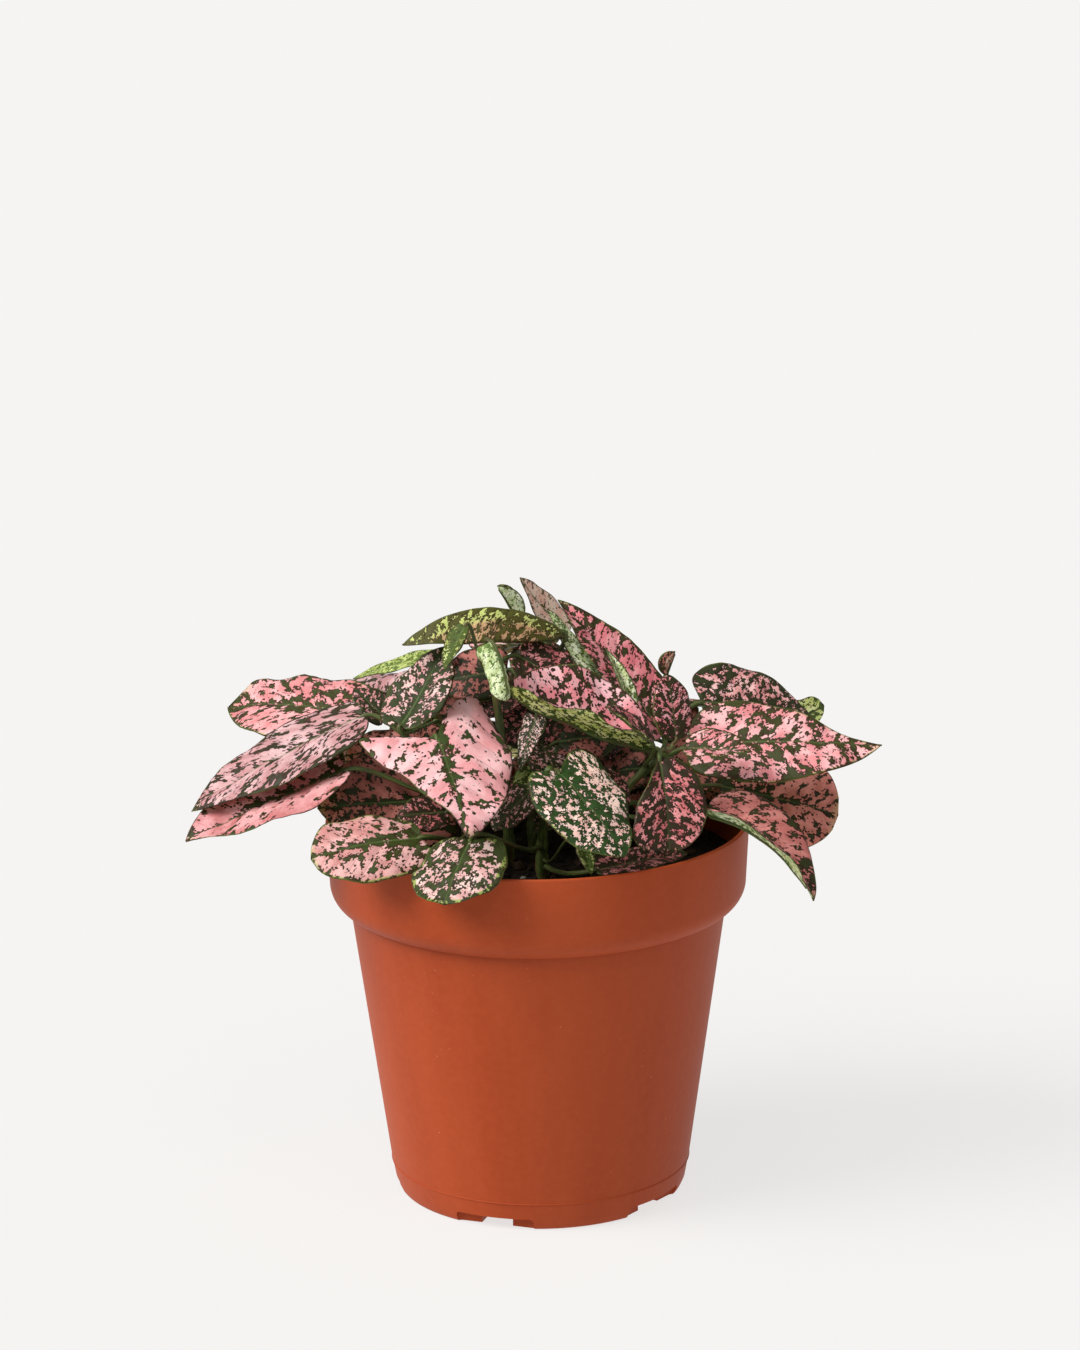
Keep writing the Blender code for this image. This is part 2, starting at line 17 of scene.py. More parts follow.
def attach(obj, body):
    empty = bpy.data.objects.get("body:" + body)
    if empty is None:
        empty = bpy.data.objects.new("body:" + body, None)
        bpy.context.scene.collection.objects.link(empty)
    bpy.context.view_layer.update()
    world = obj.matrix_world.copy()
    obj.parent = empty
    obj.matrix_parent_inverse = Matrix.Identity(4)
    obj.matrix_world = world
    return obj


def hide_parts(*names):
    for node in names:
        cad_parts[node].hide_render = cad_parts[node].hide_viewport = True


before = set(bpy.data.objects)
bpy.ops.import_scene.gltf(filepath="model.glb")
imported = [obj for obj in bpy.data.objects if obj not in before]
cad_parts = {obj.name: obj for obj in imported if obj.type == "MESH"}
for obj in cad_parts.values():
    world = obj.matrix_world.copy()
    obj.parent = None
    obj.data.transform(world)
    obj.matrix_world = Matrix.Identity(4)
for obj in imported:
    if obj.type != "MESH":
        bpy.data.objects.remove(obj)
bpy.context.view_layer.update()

MM = 0.001
TO_MM = 1000

# Camera: where it stands (m), how it is turned (radians), and its lens (mm)
CAMERA_DISTANCE = 1.150
CAMERA_HEIGHT = 0.4413
CAMERA_PITCH = -0.2634
CAMERA_ROLL = -0.0098
CAMERA_LENS = 129.7
CAMERA_SHIFT = 0.0030

# Light
STUDIO_WHITE = (1.0, 0.99, 0.98, 1)
SUN_COLOUR = (1, 0.985, 0.96)

# Stems (m); the knee of a stem's curve stands above its foot, part of the way up
STEM_RADIUS = 0.0014
STEM_TIP_SCALE = 0.65
STEM_FOOT_SCALE = 1.1
STEM_KNEE = 0.55
STEM_FOOT_HEIGHT = 0.0830
STEM_ROOT_DEPTH = 0.0040
STEM_RINGS = 60
STEM_SIDES = 16
BARE_JOINTS = (0.12, 0.3)
JOINT_REACH = 0.03
JOINT_SWELL = 0.28

Stem = namedtuple("Stem", "name foot top")
# foot: x, y where the stem leaves the soil; top: x, y, z of its growing tip (mm)
STEMS = (
    Stem("stem_1", (-16, -14), (-27, -18, 120)),
    Stem("stem_2", (-14, 8), (-30, 8, 126)),
    Stem("stem_3", (-1, 2), (3, 9, 137)),
    Stem("stem_4", (14, -8), (33, -14, 116)),
    Stem("stem_5", (1, -18), (3, -30, 116)),
    Stem("stem_6", (13, 12), (34, 14, 120)),
    Stem("stem_7", (-1, 16), (-4, 22, 121)),
    Stem("stem_8", (-7, -6), (-11, -9, 136)),
)

# Blades (mm): the spacing of their points, how these crowd towards the base and the midrib, the
# blade's thickness, its least half widths, and how fast its lobes fade towards the tip
LEAF_CELL = 0.65
INNER_CELL = 1.1
LEAST_ROWS = 12
LEAST_COLUMNS = 10
BASE_CROWDING = 1.2
RIB_CROWDING = 1.2
LEAF_THICKNESS = 0.42
FULL_THICKNESS_WIDTH = 16
BASE_THINNING, TIP_THINNING = 30, 14
MARGIN_SQUARENESS = 8
TIP_HALF_WIDTH = 0.05
BASE_HALF_WIDTH = 0.7
LOBE_FADE = 4

# Petioles and midribs: radii in mm; ease: how far a petiole keeps straight out of its stem and into
# its blade (a share of its span); the midrib runs below the blade from its start to its end
PETIOLE_RADIUS = 0.65
PETIOLE_EASE = 0.28
PETIOLE_POINTS = 18
PETIOLE_FLARE, PETIOLE_FLARE_POINTS = 0.5, 1.5
PETIOLE_ROOT = 0.2
RIB_START = 0.03
RIB_END = 0.9
RIB_END_RADIUS = 0.16
FULL_RIB_LENGTH = 26
RIB_POINTS = 22
RIB_SUNK = 0.35
STALK_SIDES = 8

# Side veins: how they lean and curve towards the tip, and the angle at which the blotches follow them
VEIN_PAIRS = 6
VEIN_SLANT = 0.75
VEIN_SWEEP = 0.35
VEIN_RISE = 42
STEEP_VEIN_RISE = {"leaf_01": 60, "leaf_02": 68, "leaf_03": 62, "leaf_24": 60}

# Relief of a blade (mm): the groove along the midrib, the quilting between side veins, the waves of
# the margin and the raggedness of its outline (shares of the width), and two sizes of unevenness
FULL_RELIEF_WIDTH = 24
GROOVE_DEPTH = 0.32
GROOVE_HALF_WIDTH = 0.8
QUILT_HEIGHT = 0.42
QUILT_FULLNESS = 0.7
QUILT_LEVEL = 0.55
QUILT_RIB_EASE, QUILT_MARGIN_EASE, QUILT_TIP_RATE = 2, 2.5, 6
MARGIN_WAVES = 2.6
MARGIN_WAVE_SHARE = 0.024
RAGGED_LENGTH, RAGGED_SHARE = 2.2, 0.022
SLOW_LENGTH, SLOW_HEIGHT = 9, 0.75
QUICK_LENGTH, QUICK_HEIGHT = 2.6, 0.16

# Size of the blotches on narrow and broad blades, beside those on one of the middling width (mm)
MIDDLING_WIDTH = 24
LEAST_GRAIN, LARGEST_GRAIN = 0.85, 1.8

# Seeds of the random draws and noises
LEFT_SEED = 31
INNER_SEED = 5
CRUMB_SEED = 11
RAGGED_SEED = 20
QUICK_SEED = 50
FIRST_LEAF_SEED, LEAF_SEED_STEP = 3, 1.7
FIRST_SHADED_SEED, SHADED_SEED_STEP = 90, 2.3
PATTERN_SEED_STEP = 7.3
STEM_SEED_STEP = 3.1
WAVE_SEED_STEP = 2.4
WAVE_PHASES = (3.7, 9.2)

Leaf = namedtuple(
    "Leaf",
    "name stem at base azimuth rise roll length width bow fold curl peak taper lobe look under",
    defaults=("lime",),
)
# at: how far up its stem the leaf grows (0 at the soil, 1 at the tip)
# base: x, y, z where the blade meets its petiole (mm)
# azimuth, rise, roll: the way the blade points, its climb, and its turn about its own axis (degrees)
# length, width: of the blade (mm); bow: how far the midrib bends from base to tip (degrees)
# fold, curl: how far each half lifts at the midrib, and bends from there to its edge (degrees)
# peak: how far along the blade is widest (0 to 1)
# taper, lobe: how drawn-out the tip is, and how far the lobes reach back past the base
# look, under: the colouring of the upper and the lower face
# A row has the numbers of the leaf and its stem in the place of their names.
LEAF_ROWS = (
    (1, 2, 0.90, (-44, 3, 121), 139, -8, 25, 45, 25, 18, 4, -12, 0.66, 0.09, 0.6, "petal"),
    (2, 1, 0.95, (-42, -10, 124), -172, -27, 20, 48, 22, 14, 6, -14, 0.36, 0.9, 0.4, "streaked"),
    (3, 1, 0.60, (-47, -16, 112), -174, -23, 22, 42, 26, 6, 20, -10, 0.36, 0.9, 0.6, "salmon"),
    (4, 1, 0.40, (-24, -12, 103), -161, 2, 45, 31, 28, 12, 6, -12, 0.40, 0.7, 0.8, "dusky"),
    (5, 1, 1.00, (-24, -26, 123), -75, -29, 0, 34, 36, 26, -2, -20, 0.04, 1.25, 0.4, "candy"),
    (6, 1, 1.00, (-33, -19, 124), 56, 38, 0, 25, 17, -12, 8, -12, 0.40, 0.8, 0.6, "splashed"),
    (7, 2, 0.70, (-37, -2, 121), 153, 37, 25, 11, 10, 10, 10, -10, 0.40, 0.8, 0.6, "speckled"),
    (8, 2, 1.00, (-21, 8, 135), 158, -19, 15, 28, 9, 14, 6, -14, 0.40, 0.8, 0.6, "sage"),
    (9, 3, 0.92, (7, 4, 141), -163, 0, 0, 41, 20, 85, -38, -24, 0.46, 0.8, 0.4, "olive"),
    (10, 8, 0.95, (-11, -24, 146), -50, -66, 180, 15, 14, -50, 10, 150, 0.34, 0.6, 0.1, "rose", "mint"),
    (11, 6, 0.78, (8, 22, 136), -150, 50, 55, 21, 10, -16, 10, -10, 0.36, 0.9, 0.4, "tan"),
    (12, 4, 0.86, (31, 3, 115), 158, 49, 22, 42, 18, 16, 22, -10, 0.32, 0.9, 0.4, "crimson", "mint"),
    (13, 4, 1.00, (34, -12, 118), 120, 74, 0, 16, 11, 10, 5, -15, 0.44, 0.7, 0.4, "flushed"),
    (14, 4, 0.90, (23.5, -8, 124), 135, 57, 20, 17, 7, 10, 70, -20, 0.36, 0.9, 0.4, "frosted", "mint"),
    (15, 4, 0.92, (29, -17, 117), -171, 24, 15, 42, 31, -22, 45, -10, 0.50, 0.85, 0.2, "bright"),
    (16, 4, 0.84, (27, -30, 123), -169, 40, 10, 14, 10, 10, 20, -15, 0.40, 0.8, 0.6, "berry"),
    (17, 8, 1.00, (-4, -4, 137), -8, -34, -35, 22, 16, 10, 10, -10, 0.36, 0.9, 0.6, "berry"),
    (18, 6, 1.00, (32, 18, 126), 25, 62, 0, 6.5, 6, 0, 45, 20, 0.50, 0.6, 0.2, "dusky", "dusky_under"),
    (19, 6, 0.84, (41, 10, 121), 26, -12, -42, 31, 25, 14, 5, -14, 0.34, 0.9, 0.4, "speckled"),
    (20, 6, 0.80, (59, 28, 106.5), 16, 28, 60, 16, 16, 10, 5, -14, 0.50, 0.6, 0.6, "leafy"),
    (21, 4, 0.92, (38, -10, 116), -4, 0, -38, 46, 25, 14, 5, -10, 0.38, 0.85, 0.6, "rose"),
    (22, 4, 0.86, (36, -24, 119), -12, 0, -20, 16, 12, 14, 20, -10, 0.36, 0.9, 0.4, "rose"),
    (23, 4, 0.55, (45, -2, 103), -4, -14, -42, 30, 26, 12, 5, -10, 0.60, 0.5, 0.2, "umber"),
    (24, 4, 0.50, (41, -28, 104), -13, -39, -8, 33, 20, 60, 38, -14, 0.36, 0.9, 0.4, "russet", "mint"),
    (25, 6, 0.70, (62, 8, 104), 10, -29, 30, 13, 10, 10, 10, -10, 0.36, 0.9, 0.6, "leafy"),
    (26, 5, 0.95, (5, -34, 116.5), -46, -37, -6, 28, 26, 20, 4, -16, 0.44, 0.62, 0.7, "green"),
    (27, 4, 1.00, (29.5, -29, 118), -80, -62, 12, 23, 20, 20, 16, -10, 0.78, 0.30, 0.0, "berry", "mint"),
    (28, 1, 0.30, (-28, -36, 101), -167, -7, 31, 27, 22, 20, 0, -18, 0.56, 0.55, 0.6, "blush"),
    (29, 5, 0.30, (-16, -44, 102.5), -110, -30, -6, 21, 24, 20, 0, -18, 0.48, 0.55, 0.6, "mottled"),
    (30, 1, 0.50, (-22, -25, 104), -172, -4, 40, 12, 11, 14, 10, -20, 0.40, 0.8, 0.6, "berry"),
    (31, 8, 0.90, (0, -16, 125), -135, -65, 0, 14, 8, 10, 10, -20, 0.20, 0.9, 0.4, "peppered"),
    (32, 5, 0.60, (-2, -22, 108), -155, -43, 10, 13, 13, 14, 10, -20, 0.40, 0.8, 0.6, "speckled"),
    (33, 3, 0.28, (1, -7, 109), -115, -38, 10, 10, 12, 14, 10, -20, 0.40, 0.8, 0.6, "leafy"),
    (34, 3, 0.40, (5, -3, 115), 0, 5, -50, 16, 14, 14, 10, -20, 0.40, 0.8, 0.6, "dusky"),
    (35, 5, 0.80, (15, -24, 113), -29, -44, -10, 11, 10, 14, 10, -20, 0.40, 0.8, 0.6, "berry"),
    (36, 8, 1.00, (-17, -16, 148), -140, -56, 0, 12, 7, 10, 20, -20, 0.36, 0.9, 0.4, "olive"),
    (37, 5, 0.20, (10, -44, 101), -55, -53, 0, 8, 5, 10, 30, -20, 0.36, 0.9, 0.4, "leafy", "mint"),
    (38, 5, 0.15, (14, -38, 93), 22, 2, -10, 24, 12, 10, 10, -10, 0.40, 0.8, 0.6, "berry"),
    (39, 7, 1.00, (-4, 28, 123), 84, -18, 5, 36, 27, 24, 6, -14, 0.36, 0.9, 0.8, "rose"),
    (40, 7, 0.95, (-13, 25, 120), 116, -16, -8, 36, 25, 20, 8, -12, 0.36, 0.9, 0.8, "candy"),
    (41, 7, 0.90, (6, 26, 119), 54, -18, 10, 36, 25, 22, 6, -14, 0.36, 0.9, 0.8, "streaked"),
    (42, 6, 1.00, (38, 24, 117), 58, -20, 6, 36, 24, 24, 8, -12, 0.36, 0.9, 0.8, "rose"),
    (43, 6, 0.50, (44, 22, 103), 22, -24, -10, 32, 22, 20, 8, -12, 0.36, 0.9, 0.8, "mottled"),
    (44, 2, 0.95, (-34, 18, 122), 126, -14, 12, 38, 25, 22, 6, -14, 0.36, 0.9, 0.8, "streaked"),
    (45, 2, 0.60, (-38, 18, 106), 156, -22, 10, 34, 24, 20, 8, -12, 0.36, 0.9, 0.8, "salmon"),
    (46, 7, 0.45, (-2, 33, 106), 92, -28, 0, 30, 25, 24, 6, -14, 0.40, 0.8, 0.8, "speckled"),
    (47, 6, 0.40, (26, 32, 103), 66, -26, -6, 30, 24, 22, 6, -14, 0.40, 0.8, 0.8, "green"),
    (48, 7, 0.40, (-24, 32, 103), 128, -24, 8, 32, 24, 22, 6, -14, 0.40, 0.8, 0.8, "candy"),
    (49, 3, 0.96, (-3, 18, 134), 104, -20, 0, 32, 22, 24, 8, -14, 0.36, 0.9, 0.8, "candy"),
    (50, 3, 1.00, (-4, 10, 143.5), -160, 55, 0, 10, 8, 0, 20, 80, 0.50, 0.6, 0.4, "mottled", "pale_under"),
)
LEAVES = tuple(
    Leaf(f"leaf_{number:02d}", f"stem_{stem}", *rest) for number, stem, *rest in LEAF_ROWS
)

# Peak, taper and lobe left of the midrib, where they are not those of the right
LEFT_SHAPES = {
    "leaf_01": (0.42, 0.90, 0.6),
    "leaf_05": (0.21, 0.72, 1.55),
    "leaf_21": (0.28, 1.60, 0.6),
    "leaf_26": (0.24, 0.80, 0.7),
    "leaf_27": (0.52, 0.50, 0.3),
    "leaf_28": (0.44, 0.50, 0.5),
}

# Leaves whose left lobe is round right up to the midrib: where their blade starts (0 to 1), and how
# near the midrib (0 to 1) its first row is no margin
ROUND_LOBED = ("leaf_05",)
ROUND_START = 0.008
ROUND_MARGIN_FROM = 0.08

# Leaves whose upper face has another look left of the midrib
LEFT_LOOKS = {"leaf_09": "fawn"}

# Leaves that have no CAD body: shaded ones low on the shoots, which share bow, fold, curl, peak, taper
# and lobe; a narrow one beside leaf_12; and small ones in pairs on the inner shoots, which are given
# with the azimuth of their first pair
# The dusky look that most of these take is painted shade.
SHADED_ROWS = (
    (8, 0.80, (-7, 6, 131), 176, -12, 50, 18, 15, "dusky"),
    (8, 0.62, (-12, 7, 124), 170, -30, 40, 16, 13, "dusky"),
    (3, 0.84, (-6, 13, 129), -4, 4, -46, 17, 15, "berry"),
    (3, 0.62, (-2, 10, 119), 4, -24, -40, 18, 15, "dusky"),
    (6, 0.62, (27, 14, 109), 176, -10, 46, 18, 16, "dusky"),
    (6, 0.50, (31, 8, 108), -14, -16, -50, 18, 16, "umber"),
    (6, 0.34, (32, 16, 101), -10, -8, -50, 20, 17, "dusky"),
    (6, 0.22, (28, 24, 97), 10, -4, -52, 22, 18, "berry"),
    (1, 0.70, (-32, -6, 114), 178, -6, 44, 15, 13, "umber"),
    (2, 0.66, (-25, 3, 119), -150, -14, 50, 13, 13, "dusky"),
    (4, 0.62, (26, -6, 109), 165, -14, 44, 16, 14, "dusky"),
    (3, 0.72, (6, 3, 121), -172, -18, 58, 17, 15, "berry"),
    (6, 0.30, (24, 6, 101), -6, -16, -58, 19, 17, "umber"),
)
SHADED_SHAPE = (12, 6, -12, 0.40, 0.7, 0.5)
SHADED_LEAVES = tuple(
    Leaf("", f"stem_{stem}", *rest, *SHADED_SHAPE, look) for stem, *rest, look in SHADED_ROWS
)
EDGE_LEAF = Leaf(
    "", "stem_4", 0.88, (20, 0, 124), 152, 48, 8, 29, 8, 12, 0, -40, 0.40, 0.8, 0.2, "frosted", "mint"
)
INNER_SHOOTS = (("stem_3", 20), ("stem_6", 60), ("stem_7", 10))
INNER_NODES = (0.30, 0.50, 0.70)
INNER_STALK = 5
INNER_LENGTHS = (15, 20)
INNER_WIDTH_SHARE = 0.72
INNER_SHAPE = (16, 8, -14, 0.38, 0.8, 0.6)
# The dusky look among these is painted shade.
INNER_LOOKS = ("dusky", "berry", "dusky", "speckled")

Look = namedtuple(
    "Look", "full pale dark green cover rib rib_width margin fine patches stretch hem crest",
    defaults=(0.0, None),
)
# full, pale: the ground's two tones; dark, green: a blotch's rim and its heart
# cover: how much of the ground the blotches take; rib, rib_width: how much more by the midrib, and
# how far out (mm); margin: how much more at the margin; fine: the blotches' size, smaller when larger
# patches: how unevenly the blotches gather; stretch: how long they are drawn, longer when smaller
# hem: how wide the margin is green (mm); crest: the ground's colour along the midrib, if it differs
LOOKS = {
    "rose": Look((219, 139, 142), (243, 185, 186), (58, 36, 22), (58, 66, 26),
        0.484, 0.06, 1.4, 0.05, 1.15, 0.12, 0.62, hem=0.7),
    "candy": Look((229, 160, 163), (245, 196, 198), (56, 38, 22), (54, 74, 30),
        0.424, 0.17, 2.4, 0.05, 1.0, 0.12, 0.72),
    "blush": Look((203, 142, 138), (226, 177, 173), (54, 38, 20), (56, 70, 24),
        0.451, 0.14, 2.4, 0.06, 1.05, 0.12, 0.72, hem=0.9),
    "streaked": Look((190, 138, 140), (216, 179, 180), (54, 34, 24), (52, 58, 32),
        0.464, 0.02, 1.2, 0.12, 1.15, 0.12, 0.36),
    "salmon": Look((196, 119, 119), (224, 167, 168), (54, 34, 18), (48, 60, 22),
        0.408, 0.16, 2.0, 0.06, 1.0, 0.14, 0.60),
    "bright": Look((244, 152, 160), (254, 198, 202), (58, 34, 24), (56, 60, 28),
        0.466, 0.05, 1.4, 0.05, 1.0, 0.12, 0.78),
    "petal": Look((218, 140, 142), (242, 184, 184), (58, 38, 24), (62, 72, 32),
        0.464, 0.12, 2.2, 0.05, 1.0, 0.12, 0.50, hem=0.7),
    "flushed": Look((242, 148, 154), (254, 192, 196), (58, 32, 24), (54, 54, 28),
        0.516, 0.06, 1.4, 0.05, 1.3, 0.12, 0.55),
    "crimson": Look((224, 128, 136), (242, 166, 170), (58, 34, 22), (56, 62, 26),
        0.484, 0.05, 1.4, 0.05, 1.0, 0.12, 0.70, hem=0.7),
    "russet": Look((190, 114, 108), (216, 144, 136), (54, 34, 20), (48, 58, 24),
        0.462, 0.12, 1.8, 0.06, 1.15, 0.12, 0.55),
    "speckled": Look((226, 156, 154), (246, 198, 196), (46, 32, 22), (50, 60, 30),
        0.521, 0.08, 1.6, 0.08, 1.35, 0.12, 0.85),
    "mottled": Look((208, 161, 158), (231, 199, 192), (46, 38, 20), (54, 68, 28),
        0.509, 0.12, 1.7, 0.03, 1.1, 0.10, 0.80, hem=1.7),
    "splashed": Look((208, 158, 156), (233, 197, 191), (46, 38, 24), (52, 66, 32),
        0.516, 0.14, 1.7, 0.04, 1.05, 0.10, 0.70, hem=0.5),
    "green": Look((236, 192, 182), (250, 218, 206), (34, 46, 20), (42, 72, 28),
        0.502, 0.08, 3.6, 0.06, 1.30, 0.08, 0.95, hem=0.9),
    "berry": Look((206, 116, 118), (236, 160, 160), (52, 28, 22), (48, 46, 24),
        0.520, 0.06, 1.4, 0.05, 1.3, 0.12, 0.66),
    "peppered": Look((232, 184, 178), (250, 222, 214), (44, 32, 24), (48, 58, 30),
        0.500, 0.06, 1.4, 0.06, 1.7, 0.12, 0.80),
    # dusky: a darker, browner pink than the other looks, painted shade for leaves that lie in shade
    "dusky": Look((148, 86, 76), (186, 116, 106), (42, 28, 16), (38, 52, 20),
        0.455, 0.14, 1.8, 0.05, 1.0, 0.16, 0.75),
    "umber": Look((196, 120, 108), (230, 152, 142), (48, 32, 18), (44, 56, 22),
        0.440, 0.12, 1.8, 0.05, 1.0, 0.14, 0.72),
    "tan": Look((240, 192, 172), (253, 226, 208), (66, 54, 28), (92, 104, 44),
        0.400, 0.08, 1.2, 0.12, 1.1, 0.18, 0.60),
    "olive": Look((172, 180, 100), (216, 226, 144), (54, 58, 18), (74, 94, 32),
        0.500, 0.10, 2.2, 0.10, 1.7, 0.14, 0.65),
    "fawn": Look((184, 142, 106), (208, 172, 130), (60, 50, 20), (82, 82, 30),
        0.500, 0.10, 2.2, 0.10, 1.5, 0.14, 0.45, crest=(200, 210, 124)),
    "sage": Look((156, 172, 92), (196, 210, 130), (66, 80, 26), (94, 118, 42),
        0.460, 0.04, 1.6, 0.03, 1.5, 0.14, 0.60),
    "leafy": Look((150, 166, 92), (204, 212, 142), (56, 68, 22), (84, 106, 40),
        0.440, 0.12, 2.0, 0.08, 1.2, 0.16, 0.75),
    "frosted": Look((194, 208, 150), (240, 242, 212), (58, 76, 28), (94, 122, 54),
        0.440, 0.04, 1.4, 0.05, 1.6, 0.14, 0.70),
}
UNDERS = {
    "lime": Look((206, 220, 122), (246, 250, 182), (52, 66, 18), (78, 102, 34),
        0.475, 0.08, 1.6, 0.05, 1.25, 0.14, 0.75),
    "mint": Look((184, 200, 138), (230, 240, 198), (76, 96, 40), (108, 136, 68),
        0.430, 0.06, 2.0, 0.06, 1.5, 0.16, 0.85),
    "pale_under": Look((206, 218, 172), (244, 246, 222), (88, 108, 52), (120, 146, 80),
        0.400, 0.05, 1.4, 0.06, 1.5, 0.14, 0.80),
    "dusky_under": Look((224, 160, 138), (246, 198, 178), (62, 48, 30), (92, 86, 48),
        0.455, 0.06, 2.0, 0.06, 1.3, 0.16, 0.85),
}


# ---------------------------------------------------------------- materials

MIX_COLOUR_INPUTS = (0, 6, 7)
MIX_COLOUR_OUTPUT = 2
NEAR_E = 2.718

# Pattern of the blades: how fine each of its noises is, per mm on a blade of middling size
CELL_SCALE = 2.6
BLOTCH_SCALE = 0.56
GATHER_SCALE = 0.11
FRAY_SCALE = 0.55
SPECK_CELL_SCALE = 4.0
SPECK_SCALE = 1.2
TONE_SCALE = 0.20
FLUSH_SCALE = 2.2
PORE_SCALE = 9.0
# How closely a blotch's edge follows the cells, how soft it is, and how much rarer specks are
CELL_SHARE = 0.80
BLOTCH_EDGE = 0.006
SPECK_RARITY = 0.11
SPECK_EDGE = 0.015
# How fast the blotches by the margin thin out inwards (per mm), half a side vein's width (mm), and
# between which distances (mm) the midrib's line, the dark edge and the crest's colour fade out
MARGIN_FADE = 0.9
VEIN_HALF_WIDTH = 0.30
RIB_LINE_HALF_WIDTHS = (0.36, 0.12)
EDGE_WIDTHS = (0.68, 0.38)
CREST_WIDTHS = (4.6, 6.4)

TIP_GREEN = (170, 184, 118)
HEM_GREEN = (142, 158, 82)
RIB_GREEN = (96, 116, 64)
EDGE_BROWN = (54, 44, 28)
EDGE_GREEN = (80, 96, 44)


def linear(colour):
    """An 8-bit sRGB colour as linear red, green, blue and alpha."""
    parts = [c / 255 for c in colour]
    return (*[p / 12.92 if p < 0.04045 else ((p + 0.055) / 1.055) ** 2.4 for p in parts], 1)


class Nodes:
    """One material's node tree, with short calls for the nodes used here."""

    def __init__(self, name):
        self.material = bpy.data.materials.new(name)
        self.material.use_nodes = True
        self.tree = self.material.node_tree
        self.shader = self.tree.nodes["Principled BSDF"]

    def put(self, socket, value):
        if isinstance(value, bpy.types.NodeSocket):
            self.tree.links.new(value, socket)
        else:
            socket.default_value = value

    def add(self, kind, settings=None, **inputs):
        node = self.tree.nodes.new("ShaderNode" + kind)
        for name, value in (settings or {}).items():
            setattr(node, name, value)
        for name, value in inputs.items():
            self.put(node.inputs[name.replace("_", " ")], value)
        return node

    def math(self, operation, first, second):
        node = self.add("Math", {"operation": operation})
        self.put(node.inputs[0], first)
        self.put(node.inputs[1], second)
        return node.outputs[0]

    def plus(self, first, second):
        return self.math("ADD", first, second)

    def minus(self, first, second):
        return self.math("SUBTRACT", first, second)

    def times(self, first, second):
        return self.math("MULTIPLY", first, second)

    def falloff(self, value):
        """1 where the value is 0, and less the larger it is."""
        return self.math("POWER", NEAR_E, self.times(value, -1.0))

    def blend(self, factor, first, second, mode="MIX"):
        node = self.add("Mix", {"data_type": "RGBA", "blend_type": mode})
        for index, value in zip(MIX_COLOUR_INPUTS, (factor, first, second)):
            self.put(node.inputs[index], value)
        return node.outputs[MIX_COLOUR_OUTPUT]

    def step(self, value, low, high):
        """0 at low, 1 at high, smooth between; low may be the larger."""
        node = self.add("MapRange", {"interpolation_type": "SMOOTHSTEP"}, Value=value)
        self.put(node.inputs["From Min"], low)
        self.put(node.inputs["From Max"], high)
        return node.outputs["Result"]

    def vector(self, x, y, z):
        return self.add("CombineXYZ", X=x, Y=y, Z=z).outputs[0]

    def attribute(self, name):
        vector = self.add("Attribute", {"attribute_name": name}).outputs["Vector"]
        return tuple(self.add("SeparateXYZ", Vector=vector).outputs)

    def object_place(self):
        return self.add("TexCoord").outputs["Object"]

    def noise(self, vector, scale, detail=2.0, roughness=0.5):
        return self.add(
            "TexNoise", Vector=vector, Scale=scale, Detail=detail, Roughness=roughness,
        ).outputs["Fac"]

    def cells(self, vector, scale, output="Position"):
        return self.add("TexVoronoi", Vector=vector, Scale=scale).outputs[output]

    def bump(self, height, distance):
        node = self.add("Bump", Height=height, Distance=distance, Strength=1.0)
        self.put(self.shader.inputs["Normal"], node.outputs[0])

    def surface(self, colour, roughness, specular):
        self.put(self.shader.inputs["Base Color"], colour)
        self.put(self.shader.inputs["Roughness"], roughness)
        self.put(self.shader.inputs["Specular IOR Level"], specular)
        return self.material


def leaf_blotches(n, look, streak, part, margin, rib):
    """How far inside a blotch each point is, whether it is spotted, and the noises behind that."""
    ragged = n.blend(CELL_SHARE, streak, n.cells(streak, CELL_SCALE))
    blotch = n.noise(ragged, BLOTCH_SCALE, 3.0, 0.6)
    gather = n.noise(streak, GATHER_SCALE, 1.0)
    frayed = n.plus(0.35, n.times(n.noise(streak, FRAY_SCALE), 1.3))
    rib_reach = n.times(n.times(look.rib_width, n.minus(1.15, part)), frayed)
    by_rib = n.falloff(n.math("POWER", n.math("DIVIDE", rib, rib_reach), 2.0))
    by_margin = n.falloff(n.times(margin, MARGIN_FADE))
    cover = n.plus(look.cover, n.times(by_rib, look.rib))
    cover = n.plus(cover, n.times(by_margin, look.margin))
    cover = n.plus(cover, n.times(n.minus(gather, 0.5), look.patches))
    depth = n.minus(cover, blotch)
    specks = n.noise(n.cells(streak, SPECK_CELL_SCALE), SPECK_SCALE, 1.0)
    speck = n.step(n.minus(n.minus(cover, SPECK_RARITY), specks), 0.0, SPECK_EDGE)
    spot = n.math("MAXIMUM", n.step(depth, -BLOTCH_EDGE, BLOTCH_EDGE), speck)
    return depth, spot, blotch, gather


def leaf_ground(n, look, streak, part, margin, rib, vein):
    """The colour between the blotches: two tones, fuller on the side veins, green at tip and hem."""
    full = linear(look.full)
    ground = n.blend(n.step(n.noise(streak, TONE_SCALE, 3.0), 0.38, 0.62), full, linear(look.pale))
    ground = n.blend(n.times(vein, 0.25), ground, full)
    flush = n.noise(streak, FLUSH_SCALE, 3.0, 0.6)
    ground = n.blend(n.times(n.step(flush, 0.45, 0.75), 0.30), ground, full, "MULTIPLY")
    tip = n.times(n.step(n.plus(part, n.times(flush, 0.06)), 0.95, 1.0), 0.35)
    ground = n.blend(tip, ground, linear(TIP_GREEN))
    if look.crest:
        away = n.plus(rib, n.times(flush, 3.0))
        ground = n.blend(n.step(away, *CREST_WIDTHS), linear(look.crest), ground)
    if look.hem:
        inside = n.plus(margin, n.times(flush, 1.2))
        ground = n.blend(n.step(inside, look.hem + 0.7, look.hem + 0.1), ground, linear(HEM_GREEN))
    return ground


